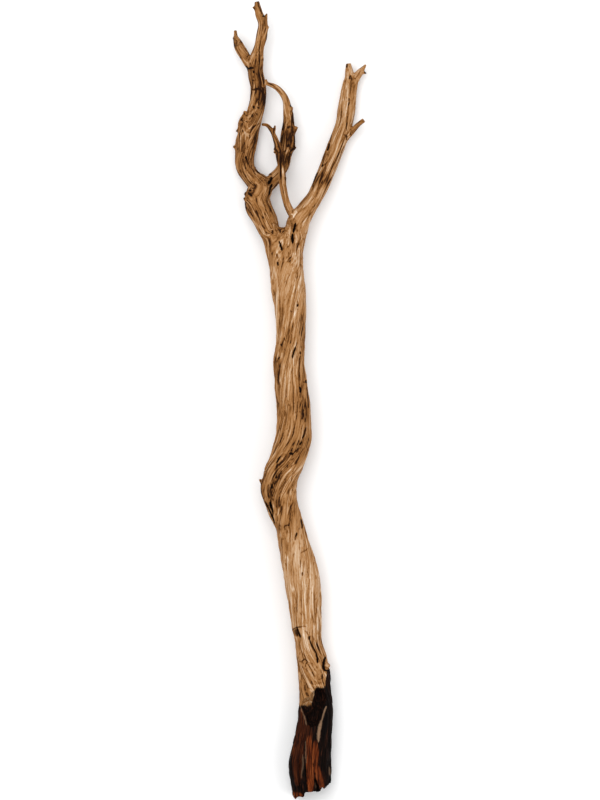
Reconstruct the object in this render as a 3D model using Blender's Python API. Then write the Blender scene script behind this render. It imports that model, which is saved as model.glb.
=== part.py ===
"""A piece of driftwood: one twisted, sand-worn branch, lying on its back on a flat surface.

It is one piece of wood, so it is one closed solid. Every limb is a loft along its own centre line,
and the limbs are grown into the trunk by Boolean unions.

Frame: metres, +Y along the branch from the broken base to the tips, +Z up, +X to the right seen from
above. The origin lies on the surface, under the middle of the branch's bounding box.
"""

import math

import bmesh
import bpy
from mathutils import Vector

WOOD_COLOUR = (0.42, 0.25, 0.13, 1.0)
WOOD_ROUGHNESS = 0.8

RINGS_PER_STATION = 2  # lofted rings from one station of a limb to the next
MIDDLE = Vector((0.00202, -0.00059, 0.0))  # middle of the drawn branch, which becomes the origin
REACH = 0.7  # longer than half the branch, for cutters that pass right under it

# A limb's stations run from its root to its tip. Each is the centre of a section, x, y and z, then
# the section's half width across the limb and its half depth.
TRUNK = [
    (0.0178, -0.5980, 0.0240, 0.0255, 0.0210),
    (0.0172, -0.5700, 0.0245, 0.0300, 0.0245),
    (0.0162, -0.5450, 0.0250, 0.0318, 0.0255),
    (0.0205, -0.5100, 0.0260, 0.0278, 0.0250),
    (0.0245, -0.4740, 0.0275, 0.0262, 0.0245),
    (0.0235, -0.4380, 0.0290, 0.0240, 0.0235),
    (0.0215, -0.4020, 0.0310, 0.0235, 0.0225),
    (0.0148, -0.3660, 0.0335, 0.0205, 0.0215),
    (0.0105, -0.3300, 0.0350, 0.0230, 0.0215),
    (0.0070, -0.2940, 0.0370, 0.0252, 0.0220),
    (0.0018, -0.2580, 0.0390, 0.0266, 0.0225),
    (-0.0062, -0.2220, 0.0405, 0.0240, 0.0225),
    (-0.0125, -0.1950, 0.0410, 0.0218, 0.0225),
    (-0.0210, -0.1680, 0.0410, 0.0220, 0.0225),
    (-0.0285, -0.1410, 0.0410, 0.0262, 0.0235),
    (-0.0275, -0.1140, 0.0405, 0.0265, 0.0245),
    (-0.0205, -0.0940, 0.0400, 0.0268, 0.0250),
    (-0.0112, -0.0690, 0.0400, 0.0272, 0.0250),
    (-0.0075, -0.0420, 0.0410, 0.0265, 0.0245),
    (-0.0080, -0.0150, 0.0425, 0.0250, 0.0240),
    (-0.0120, 0.0210, 0.0430, 0.0245, 0.0230),
    (-0.0147, 0.0570, 0.0430, 0.0235, 0.0225),
    (-0.0118, 0.0930, 0.0420, 0.0215, 0.0220),
    (-0.0130, 0.1380, 0.0410, 0.0242, 0.0225),
    (-0.0173, 0.1830, 0.0395, 0.0256, 0.0225),
    (-0.0208, 0.2190, 0.0385, 0.0266, 0.0215),
    (-0.0225, 0.2420, 0.0380, 0.0290, 0.0190),
    (-0.0225, 0.2590, 0.0380, 0.0190, 0.0120),
]
LEFT_LIMB = [
    (-0.0330, 0.2050, 0.0385, 0.0120, 0.0140),
    (-0.0395, 0.2400, 0.0365, 0.0145, 0.0175),
    (-0.0500, 0.2670, 0.0345, 0.0175, 0.0180),
    (-0.0612, 0.2890, 0.0310, 0.0195, 0.0175),
    (-0.0625, 0.3060, 0.0285, 0.0185, 0.0175),
    (-0.0580, 0.3210, 0.0260, 0.0178, 0.0175),
    (-0.0715, 0.3345, 0.0215, 0.0135, 0.0160),
    (-0.0808, 0.3510, 0.0170, 0.0142, 0.0160),
    (-0.0818, 0.3690, 0.0150, 0.0150, 0.0160),
    (-0.0798, 0.3870, 0.0150, 0.0158, 0.0155),
    (-0.0745, 0.4080, 0.0175, 0.0150, 0.0150),
    (-0.0672, 0.4290, 0.0210, 0.0130, 0.0140),
    (-0.0622, 0.4500, 0.0240, 0.0125, 0.0130),
    (-0.0615, 0.4710, 0.0265, 0.0120, 0.0125),
    (-0.0655, 0.4920, 0.0290, 0.0120, 0.0120),
    (-0.0642, 0.5100, 0.0315, 0.0110, 0.0105),
    (-0.0603, 0.5280, 0.0345, 0.0078, 0.0085),
    (-0.0560, 0.5460, 0.0380, 0.0086, 0.0082),
    (-0.0545, 0.5640, 0.0415, 0.0070, 0.0075),
    (-0.0602, 0.5790, 0.0440, 0.0060, 0.0060),
    (-0.0635, 0.5968, 0.0455, 0.0036, 0.0038),
]
LEFT_PRONG = [
    (-0.0690, 0.4960, 0.0290, 0.0080, 0.0080),
    (-0.0800, 0.5140, 0.0280, 0.0075, 0.0075),
    (-0.0890, 0.5290, 0.0275, 0.0078, 0.0070),
    (-0.0938, 0.5410, 0.0275, 0.0058, 0.0056),
    (-0.0948, 0.5555, 0.0280, 0.0028, 0.0030),
]
LEFT_TIP_SNAG = [
    (-0.0530, 0.5450, 0.0380, 0.0050, 0.0050),
    (-0.0478, 0.5620, 0.0390, 0.0048, 0.0044),
    (-0.0478, 0.5780, 0.0400, 0.0024, 0.0022),
]
LEFT_FLAP = [
    (-0.0870, 0.3720, 0.0260, 0.0080, 0.0080),
    (-0.0855, 0.3980, 0.0270, 0.0065, 0.0075),
    (-0.0850, 0.4180, 0.0280, 0.0062, 0.0060),
    (-0.0800, 0.4340, 0.0290, 0.0018, 0.0018),
]
SHOULDER_STUB = [
    (-0.0600, 0.2860, 0.0360, 0.0140, 0.0130),
    (-0.0690, 0.2970, 0.0380, 0.0110, 0.0110),
    (-0.0782, 0.3075, 0.0395, 0.0082, 0.0085),
]
RIGHT_LIMB = [
    (-0.0090, 0.2050, 0.0385, 0.0120, 0.0140),
    (-0.0065, 0.2400, 0.0380, 0.0165, 0.0180),
    (-0.0010, 0.2670, 0.0370, 0.0170, 0.0175),
    (0.0105, 0.2850, 0.0355, 0.0140, 0.0160),
    (0.0234, 0.3040, 0.0335, 0.0121, 0.0145),
    (0.0348, 0.3300, 0.0300, 0.0130, 0.0135),
    (0.0458, 0.3570, 0.0260, 0.0130, 0.0130),
    (0.0562, 0.3840, 0.0210, 0.0135, 0.0130),
    (0.0665, 0.4110, 0.0150, 0.0135, 0.0130),
    (0.0712, 0.4380, 0.0122, 0.0132, 0.0130),
    (0.0748, 0.4650, 0.0135, 0.0118, 0.0115),
    (0.0775, 0.4810, 0.0155, 0.0108, 0.0100),
    (0.0755, 0.4920, 0.0170, 0.0065, 0.0070),
    (0.0742, 0.5062, 0.0185, 0.0036, 0.0040),
]
RIGHT_TIP_PRONG = [
    (0.0800, 0.4760, 0.0155, 0.0070, 0.0070),
    (0.0870, 0.4870, 0.0165, 0.0060, 0.0058),
    (0.0940, 0.4945, 0.0175, 0.0058, 0.0050),
    (0.1000, 0.5000, 0.0185, 0.0050, 0.0034),
]
RIGHT_STUB = [
    (0.0700, 0.3950, 0.0190, 0.0060, 0.0060),
    (0.0800, 0.4050, 0.0215, 0.0048, 0.0050),
    (0.0890, 0.4140, 0.0240, 0.0036, 0.0038),
    (0.0975, 0.4205, 0.0260, 0.0034, 0.0034),
]
ARCHED_BRANCH = [
    (-0.0520, 0.3150, 0.0250, 0.0090, 0.0090),
    (-0.0412, 0.3285, 0.0250, 0.0105, 0.0100),
    (-0.0308, 0.3400, 0.0245, 0.0092, 0.0095),
    (-0.0225, 0.3540, 0.0240, 0.0090, 0.0095),
    (-0.0198, 0.3690, 0.0240, 0.0098, 0.0105),
    (-0.0175, 0.3820, 0.0240, 0.0120, 0.0110),
    (-0.0165, 0.4020, 0.0245, 0.0105, 0.0105),
    (-0.0155, 0.4200, 0.0260, 0.0085, 0.0090),
    (-0.0172, 0.4350, 0.0280, 0.0070, 0.0070),
    (-0.0195, 0.4490, 0.0300, 0.0054, 0.0052),
    (-0.0252, 0.4600, 0.0320, 0.0048, 0.0046),
    (-0.0350, 0.4698, 0.0330, 0.0040, 0.0040),
    (-0.0490, 0.4752, 0.0335, 0.0028, 0.0026),
]
ARCHED_SNAG_LOW = [
    (-0.0150, 0.3950, 0.0260, 0.0060, 0.0060),
    (-0.0080, 0.4040, 0.0265, 0.0042, 0.0040),
    (-0.0028, 0.4110, 0.0270, 0.0022, 0.0020),
]
ARCHED_SNAG_HIGH = [
    (-0.0135, 0.4170, 0.0270, 0.0055, 0.0055),
    (-0.0110, 0.4300, 0.0275, 0.0035, 0.0035),
    (-0.0102, 0.4395, 0.0280, 0.0016, 0.0016),
]
THIN_TWIG = [
    (-0.0040, 0.2680, 0.0420, 0.0070, 0.0070),
    (-0.0130, 0.2830, 0.0450, 0.0060, 0.0062),
    (-0.0188, 0.2960, 0.0465, 0.0052, 0.0056),
    (-0.0228, 0.3120, 0.0475, 0.0052, 0.0054),
    (-0.0250, 0.3300, 0.0480, 0.0056, 0.0056),
    (-0.0262, 0.3480, 0.0480, 0.0056, 0.0056),
    (-0.0290, 0.3640, 0.0480, 0.0060, 0.0058),
    (-0.0315, 0.3780, 0.0480, 0.0055, 0.0055),
    (-0.0360, 0.3920, 0.0480, 0.0041, 0.0043),
    (-0.0415, 0.4040, 0.0475, 0.0036, 0.0038),
    (-0.0480, 0.4115, 0.0465, 0.0028, 0.0028),
    (-0.0560, 0.4130, 0.0450, 0.0022, 0.0022),
]
TWIG_PRONG = [
    (-0.0395, 0.3990, 0.0480, 0.0030, 0.0032),
    (-0.0370, 0.4050, 0.0490, 0.0026, 0.0026),
    (-0.0362, 0.4112, 0.0500, 0.0016, 0.0016),
]
LOOSE_STRAND = [
    (-0.0450, -0.1120, 0.0420, 0.0080, 0.0110),
    (-0.0518, -0.1330, 0.0420, 0.0064, 0.0100),
    (-0.0462, -0.1580, 0.0410, 0.0048, 0.0090),
    (-0.0375, -0.1780, 0.0405, 0.0042, 0.0070),
    (-0.0285, -0.1960, 0.0400, 0.0034, 0.0050),
]
TRUNK_STUB = [
    (0.0300, -0.4060, 0.0380, 0.0080, 0.0080),
    (0.0390, -0.3990, 0.0420, 0.0062, 0.0062),
    (0.0438, -0.3945, 0.0440, 0.0046, 0.0046),
]

# Each limb's stations, its number of sides, the lobes of its section and how far they swell.
LIMBS = {
    "left_limb": (LEFT_LIMB, 14, 3, 0.05),
    "right_limb": (RIGHT_LIMB, 14, 3, 0.05),
    "arched_branch": (ARCHED_BRANCH, 12, 3, 0.06),
    "thin_twig": (THIN_TWIG, 10, 2, 0.05),
    "left_prong": (LEFT_PRONG, 10, 2, 0.04),
    "left_tip_snag": (LEFT_TIP_SNAG, 8, 2, 0.0),
    "left_flap": (LEFT_FLAP, 8, 2, 0.0),
    "shoulder_stub": (SHOULDER_STUB, 10, 3, 0.04),
    "right_tip_prong": (RIGHT_TIP_PRONG, 8, 2, 0.0),
    "right_stub": (RIGHT_STUB, 8, 2, 0.0),
    "arched_snag_low": (ARCHED_SNAG_LOW, 8, 2, 0.0),
    "arched_snag_high": (ARCHED_SNAG_HIGH, 8, 2, 0.0),
    "twig_prong": (TWIG_PRONG, 8, 2, 0.0),
    "loose_strand": (LOOSE_STRAND, 8, 2, 0.0),
    "trunk_stub": (TRUNK_STUB, 8, 2, 0.0),
}
TRUNK_SIDES = 20
TRUNK_LOBES = 3
TRUNK_SWELL = 0.045
LOBE_TWIST = 9.0  # radians that the lobes turn for each metre of limb

# Rot hollows in the upper side: the centre, the three half sizes, and the turn about Z in degrees.
HOLLOWS = {
    "base_hollow_top": ((0.0300, -0.4520, 0.0500), (0.0145, 0.0140, 0.0150), 0),
    "base_hollow_low": ((0.0215, -0.4700, 0.0500), (0.0125, 0.0240, 0.0170), -14),
    "wound_hollow": ((-0.0270, -0.1050, 0.0640), (0.0065, 0.0320, 0.0060), -18),
    "crotch_slot": ((-0.0085, 0.2530, 0.0530), (0.0026, 0.0160, 0.0110), -6),
    "fork_slot": ((-0.0265, 0.2300, 0.0590), (0.0022, 0.0080, 0.0090), 12),
    "trunk_slot": ((-0.0065, 0.0700, 0.0640), (0.0020, 0.0090, 0.0090), -18),
}
HOLLOW_SEGMENTS = 12
HOLLOW_RINGS = 8

# The broken base: wedges knocked out of its end, each a centre, a size and a turn about Z in degrees.
BREAKS = {
    "break_right": ((0.0350, -0.5980, 0.0250), (0.0600, 0.0300, 0.1200), 14),
    "break_notch": ((0.0330, -0.5820, 0.0420), (0.0090, 0.0180, 0.0300), 25),
    "break_left": ((-0.0150, -0.5900, 0.0350), (0.0100, 0.0400, 0.0200), -8),
}


def smoothed(stations, steps):
    """The stations with more between them, on a Catmull-Rom curve through all of them."""
    rows = []
    last = len(stations) - 1
    for i in range(last):
        before, start, end, after = (stations[max(0, min(last, i + k))] for k in (-1, 0, 1, 2))
        for step in range(steps):
            t = step / steps
            rows.append(
                tuple(
                    0.5 * (2 * b + (c - a) * t + (2 * a - 5 * b + 4 * c - d) * t**2 + (3 * b - a - 3 * c + d) * t**3)
                    for a, b, c, d in zip(before, start, end, after)
                )
            )
    rows.append(stations[-1])
    return rows


def section(row, direction, sides, lobes, swell):
    """The points of one lobed section, square to the limb's direction."""
    x, y, z, half_width, half_depth = row
    across = direction.cross(Vector((0, 0, 1))).normalized()
    upward = across.cross(direction)
    points = []
    for k in range(sides):
        angle = 2 * math.pi * k / sides
        size = 1 + swell * math.cos(lobes * (angle + LOBE_TWIST * y))
        offset = across * (half_width * math.cos(angle)) + upward * (half_depth * math.sin(angle))
        points.append(Vector((x, y, z)) + offset * size)
    return points


def loft(name, stations, sides, lobes, swell):
    """A limb as one closed mesh through its sections."""
    rows = smoothed(stations, RINGS_PER_STATION)
    mesh = bmesh.new()
    rings = []
    for i, row in enumerate(rows):
        ahead = Vector(rows[min(i + 1, len(rows) - 1)][:3])
        behind = Vector(rows[max(i - 1, 0)][:3])
        points = section(row, (ahead - behind).normalized(), sides, lobes, swell)
        rings.append([mesh.verts.new(point) for point in points])
    for near, far in zip(rings, rings[1:]):
        for k in range(sides):
            after = (k + 1) % sides
            mesh.faces.new((near[k], near[after], far[after], far[k]))
    mesh.faces.new(reversed(rings[0]))
    mesh.faces.new(rings[-1])
    bmesh.ops.recalc_face_normals(mesh, faces=mesh.faces)
    return mesh_object(name, mesh)


def hollow(name, centre, half_sizes, turn):
    """An egg-shaped cutter."""
    mesh = bmesh.new()
    bmesh.ops.create_uvsphere(mesh, u_segments=HOLLOW_SEGMENTS, v_segments=HOLLOW_RINGS, radius=1.0)
    bmesh.ops.scale(mesh, vec=half_sizes, verts=mesh.verts)
    return placed(mesh_object(name, mesh), centre, turn)


def block(name, centre, size, turn):
    """A box-shaped cutter."""
    mesh = bmesh.new()
    bmesh.ops.create_cube(mesh, size=1.0)
    bmesh.ops.scale(mesh, vec=size, verts=mesh.verts)
    return placed(mesh_object(name, mesh), centre, turn)


def placed(obj, centre, turn):
    obj.location = centre
    obj.rotation_euler = (0, 0, math.radians(turn))
    return obj


def mesh_object(name, mesh):
    data = bpy.data.meshes.new(name)
    mesh.to_mesh(data)
    mesh.free()
    return bpy.data.objects.new(name, data)


def collection(name):
    made = bpy.data.collections.new(name)
    bpy.context.scene.collection.children.link(made)
    return made


def combine(wood, other, operation, helpers):
    """Adds a limb to the wood, or cuts a hollow from it, and keeps the other object as a hidden helper."""
    helpers.objects.link(other)
    other.hide_render = True
    other.display_type = "WIRE"
    change = wood.modifiers.new(other.name, "BOOLEAN")
    change.operation = operation
    change.object = other


def wood_material():
    material = bpy.data.materials.new("weathered_wood")
    material.use_nodes = True
    shader = material.node_tree.nodes["Principled BSDF"]
    shader.inputs["Base Color"].default_value = WOOD_COLOUR
    shader.inputs["Roughness"].default_value = WOOD_ROUGHNESS
    shader.inputs["Metallic"].default_value = 0.0
    return material


def build():
    for obj in list(bpy.data.objects):
        bpy.data.objects.remove(obj)
    parts = collection("driftwood_branch")
    helpers = collection("limbs_and_cutters")

    wood = loft("driftwood", TRUNK, TRUNK_SIDES, TRUNK_LOBES, TRUNK_SWELL)
    parts.objects.link(wood)
    wood.data.materials.append(wood_material())
    for name, (stations, sides, lobes, swell) in LIMBS.items():
        combine(wood, loft(name, stations, sides, lobes, swell), "UNION", helpers)
    for name, (centre, half_sizes, turn) in HOLLOWS.items():
        combine(wood, hollow(name, centre, half_sizes, turn), "DIFFERENCE", helpers)
    for name, (centre, size, turn) in BREAKS.items():
        combine(wood, block(name, centre, size, turn), "DIFFERENCE", helpers)
    # What lies lowest is worn flat, so the branch rests on three flats in one plane.
    ground = block("ground", (0, 0, -0.05), (REACH, 2 * REACH, 0.1), 0)
    combine(wood, ground, "DIFFERENCE", helpers)

    for obj in bpy.data.objects:
        obj.location -= MIDDLE


build()
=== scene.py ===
"""A piece of driftwood: one twisted, sand-worn branch, lying on its back on a pale floor.

Each limb is drawn out of a round blank along its centre line. The rot hollows and the broken end are
cut, the limbs are fused into one skin, and the skin is carved: the long ridges of the grain first,
then the rotten base, then slots, clefts and knots. Every point of the skin also keeps where it lies
in the straight log that the twisted branch grew from, so that ridges and fibres follow each limb and
its twist.
"""

import math

import bpy
import numpy as np
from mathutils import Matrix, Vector


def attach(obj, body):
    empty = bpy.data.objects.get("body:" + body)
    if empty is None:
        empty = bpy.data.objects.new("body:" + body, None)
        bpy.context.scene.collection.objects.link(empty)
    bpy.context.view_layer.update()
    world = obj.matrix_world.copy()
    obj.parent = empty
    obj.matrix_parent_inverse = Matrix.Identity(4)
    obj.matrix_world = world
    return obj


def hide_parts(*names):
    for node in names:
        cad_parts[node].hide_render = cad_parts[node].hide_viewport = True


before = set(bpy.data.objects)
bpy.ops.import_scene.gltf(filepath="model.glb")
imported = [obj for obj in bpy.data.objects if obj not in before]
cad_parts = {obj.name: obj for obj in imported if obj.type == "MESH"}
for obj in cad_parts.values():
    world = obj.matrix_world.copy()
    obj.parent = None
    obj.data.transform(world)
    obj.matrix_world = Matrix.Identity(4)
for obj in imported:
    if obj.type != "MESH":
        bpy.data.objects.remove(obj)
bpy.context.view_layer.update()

# The limbs are drawn about this point, in metres, and moved so that it becomes the origin.
MIDDLE = np.array([0.00202, -0.00059, 0.0])

# A limb's stations run from its root to its tip. Each is the centre of a section, x, y and z, then
# the section's half width across the limb and its half depth.
TRUNK = [
    (0.0178, -0.5980, 0.0240, 0.0255, 0.0210),
    (0.0172, -0.5700, 0.0245, 0.0300, 0.0245),
    (0.0162, -0.5450, 0.0250, 0.0318, 0.0255),
    (0.0205, -0.5100, 0.0260, 0.0278, 0.0250),
    (0.0245, -0.4740, 0.0275, 0.0262, 0.0245),
    (0.0235, -0.4380, 0.0290, 0.0240, 0.0235),
    (0.0215, -0.4020, 0.0310, 0.0235, 0.0225),
    (0.0148, -0.3660, 0.0335, 0.0205, 0.0215),
    (0.0105, -0.3300, 0.0350, 0.0230, 0.0215),
    (0.0070, -0.2940, 0.0370, 0.0252, 0.0220),
    (0.0018, -0.2580, 0.0390, 0.0266, 0.0225),
    (-0.0062, -0.2220, 0.0405, 0.0240, 0.0225),
    (-0.0125, -0.1950, 0.0410, 0.0218, 0.0225),
    (-0.0210, -0.1680, 0.0410, 0.0220, 0.0225),
    (-0.0285, -0.1410, 0.0410, 0.0262, 0.0235),
    (-0.0275, -0.1140, 0.0405, 0.0265, 0.0245),
    (-0.0205, -0.0940, 0.0400, 0.0268, 0.0250),
    (-0.0112, -0.0690, 0.0400, 0.0272, 0.0250),
    (-0.0075, -0.0420, 0.0410, 0.0265, 0.0245),
    (-0.0080, -0.0150, 0.0425, 0.0250, 0.0240),
    (-0.0120, 0.0210, 0.0430, 0.0245, 0.0230),
    (-0.0147, 0.0570, 0.0430, 0.0235, 0.0225),
    (-0.0118, 0.0930, 0.0420, 0.0215, 0.0220),
    (-0.0130, 0.1380, 0.0410, 0.0242, 0.0225),
    (-0.0173, 0.1830, 0.0395, 0.0256, 0.0225),
    (-0.0208, 0.2190, 0.0385, 0.0266, 0.0215),
    (-0.0225, 0.2420, 0.0380, 0.0290, 0.0190),
    (-0.0225, 0.2590, 0.0380, 0.0190, 0.0120),
]
LEFT_LIMB = [
    (-0.0330, 0.2050, 0.0385, 0.0120, 0.0140),
    (-0.0395, 0.2400, 0.0365, 0.0145, 0.0175),
    (-0.0500, 0.2670, 0.0345, 0.0175, 0.0180),
    (-0.0612, 0.2890, 0.0310, 0.0195, 0.0175),
    (-0.0625, 0.3060, 0.0285, 0.0185, 0.0175),
    (-0.0580, 0.3210, 0.0260, 0.0178, 0.0175),
    (-0.0715, 0.3345, 0.0215, 0.0135, 0.0160),
    (-0.0808, 0.3510, 0.0170, 0.0142, 0.0160),
    (-0.0818, 0.3690, 0.0150, 0.0150, 0.0160),
    (-0.0798, 0.3870, 0.0150, 0.0158, 0.0155),
    (-0.0745, 0.4080, 0.0175, 0.0150, 0.0150),
    (-0.0672, 0.4290, 0.0210, 0.0130, 0.0140),
    (-0.0622, 0.4500, 0.0240, 0.0125, 0.0130),
    (-0.0615, 0.4710, 0.0265, 0.0120, 0.0125),
    (-0.0655, 0.4920, 0.0290, 0.0120, 0.0120),
    (-0.0642, 0.5100, 0.0315, 0.0110, 0.0105),
    (-0.0603, 0.5280, 0.0345, 0.0078, 0.0085),
    (-0.0560, 0.5460, 0.0380, 0.0086, 0.0082),
    (-0.0545, 0.5640, 0.0415, 0.0070, 0.0075),
    (-0.0602, 0.5790, 0.0440, 0.0060, 0.0060),
    (-0.0635, 0.5968, 0.0455, 0.0036, 0.0038),
]
LEFT_PRONG = [
    (-0.0690, 0.4960, 0.0290, 0.0080, 0.0080),
    (-0.0800, 0.5140, 0.0280, 0.0075, 0.0075),
    (-0.0890, 0.5290, 0.0275, 0.0078, 0.0070),
    (-0.0938, 0.5410, 0.0275, 0.0056, 0.0056),
    (-0.0953, 0.5475, 0.0278, 0.0030, 0.0032),
    (-0.0958, 0.5555, 0.0280, 0.0024, 0.0026),
]
LEFT_TIP_SNAG = [
    (-0.0535, 0.5420, 0.0380, 0.0046, 0.0050),
    (-0.0508, 0.5600, 0.0390, 0.0038, 0.0042),
    (-0.0503, 0.5710, 0.0395, 0.0032, 0.0034),
    (-0.0486, 0.5795, 0.0400, 0.0012, 0.0013),
]
LEFT_FLAP = [
    (-0.0870, 0.3720, 0.0260, 0.0080, 0.0080),
    (-0.0855, 0.3980, 0.0270, 0.0065, 0.0075),
    (-0.0850, 0.4180, 0.0280, 0.0062, 0.0060),
    (-0.0800, 0.4340, 0.0290, 0.0018, 0.0018),
]
SHOULDER_STUB = [
    (-0.0600, 0.2860, 0.0360, 0.0140, 0.0130),
    (-0.0690, 0.2970, 0.0380, 0.0110, 0.0110),
    (-0.0782, 0.3075, 0.0395, 0.0082, 0.0085),
]
RIGHT_LIMB = [
    (-0.0090, 0.2050, 0.0385, 0.0120, 0.0140),
    (-0.0065, 0.2400, 0.0380, 0.0165, 0.0180),
    (-0.0010, 0.2670, 0.0370, 0.0170, 0.0175),
    (0.0105, 0.2850, 0.0355, 0.0140, 0.0160),
    (0.0234, 0.3040, 0.0335, 0.0121, 0.0145),
    (0.0348, 0.3300, 0.0300, 0.0130, 0.0135),
    (0.0458, 0.3570, 0.0260, 0.0130, 0.0130),
    (0.0562, 0.3840, 0.0210, 0.0135, 0.0130),
    (0.0665, 0.4110, 0.0150, 0.0135, 0.0130),
    (0.0712, 0.4380, 0.0122, 0.0132, 0.0130),
    (0.0748, 0.4650, 0.0135, 0.0118, 0.0115),
    (0.0775, 0.4810, 0.0155, 0.0108, 0.0100),
    (0.0755, 0.4920, 0.0170, 0.0065, 0.0070),
    (0.0742, 0.5062, 0.0185, 0.0036, 0.0040),
]
RIGHT_TIP_PRONG = [
    (0.0800, 0.4760, 0.0155, 0.0070, 0.0070),
    (0.0865, 0.4865, 0.0165, 0.0060, 0.0058),
    (0.0915, 0.4930, 0.0172, 0.0052, 0.0048),
    (0.0958, 0.4985, 0.0180, 0.0034, 0.0032),
    (0.1002, 0.5045, 0.0190, 0.0014, 0.0014),
]
RIGHT_STUB = [
    (0.0700, 0.3950, 0.0190, 0.0060, 0.0060),
    (0.0800, 0.4050, 0.0215, 0.0048, 0.0050),
    (0.0890, 0.4140, 0.0240, 0.0036, 0.0038),
    (0.0975, 0.4205, 0.0260, 0.0034, 0.0034),
]
ARCHED_BRANCH = [
    (-0.0520, 0.3150, 0.0250, 0.0090, 0.0090),
    (-0.0412, 0.3285, 0.0250, 0.0105, 0.0100),
    (-0.0308, 0.3400, 0.0245, 0.0092, 0.0095),
    (-0.0225, 0.3540, 0.0240, 0.0090, 0.0095),
    (-0.0198, 0.3690, 0.0240, 0.0098, 0.0105),
    (-0.0175, 0.3820, 0.0240, 0.0120, 0.0110),
    (-0.0165, 0.4020, 0.0245, 0.0105, 0.0105),
    (-0.0155, 0.4200, 0.0260, 0.0085, 0.0090),
    (-0.0172, 0.4350, 0.0280, 0.0070, 0.0070),
    (-0.0195, 0.4490, 0.0300, 0.0054, 0.0052),
    (-0.0252, 0.4600, 0.0320, 0.0048, 0.0046),
    (-0.0350, 0.4698, 0.0330, 0.0040, 0.0040),
    (-0.0490, 0.4752, 0.0335, 0.0028, 0.0026),
]
ARCHED_SNAG_LOW = [
    (-0.0150, 0.3950, 0.0260, 0.0060, 0.0060),
    (-0.0080, 0.4040, 0.0265, 0.0042, 0.0040),
    (-0.0028, 0.4110, 0.0270, 0.0022, 0.0020),
]
ARCHED_SNAG_HIGH = [
    (-0.0140, 0.4170, 0.0270, 0.0058, 0.0055),
    (-0.0132, 0.4290, 0.0275, 0.0038, 0.0036),
    (-0.0132, 0.4435, 0.0280, 0.0013, 0.0014),
]
THIN_TWIG = [
    (-0.0040, 0.2680, 0.0420, 0.0070, 0.0070),
    (-0.0130, 0.2830, 0.0450, 0.0060, 0.0062),
    (-0.0188, 0.2960, 0.0465, 0.0052, 0.0056),
    (-0.0228, 0.3120, 0.0475, 0.0052, 0.0054),
    (-0.0250, 0.3300, 0.0480, 0.0056, 0.0056),
    (-0.0262, 0.3480, 0.0480, 0.0056, 0.0056),
    (-0.0290, 0.3640, 0.0480, 0.0060, 0.0058),
    (-0.0315, 0.3780, 0.0480, 0.0055, 0.0055),
    (-0.0360, 0.3920, 0.0480, 0.0041, 0.0043),
    (-0.0415, 0.4040, 0.0475, 0.0036, 0.0038),
    (-0.0480, 0.4115, 0.0465, 0.0028, 0.0028),
    (-0.0560, 0.4130, 0.0450, 0.0022, 0.0022),
]
TWIG_PRONG = [
    (-0.0395, 0.3990, 0.0480, 0.0030, 0.0032),
    (-0.0370, 0.4050, 0.0490, 0.0026, 0.0026),
    (-0.0362, 0.4112, 0.0500, 0.0016, 0.0016),
]
LOOSE_STRAND = [
    (-0.0450, -0.1120, 0.0420, 0.0080, 0.0110),
    (-0.0518, -0.1330, 0.0420, 0.0064, 0.0100),
    (-0.0462, -0.1580, 0.0410, 0.0048, 0.0090),
    (-0.0375, -0.1780, 0.0405, 0.0042, 0.0070),
    (-0.0285, -0.1960, 0.0400, 0.0034, 0.0050),
]
TRUNK_STUB = [
    (0.0300, -0.4060, 0.0380, 0.0080, 0.0080),
    (0.0390, -0.3990, 0.0420, 0.0062, 0.0062),
    (0.0438, -0.3945, 0.0440, 0.0046, 0.0046),
]

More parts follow.
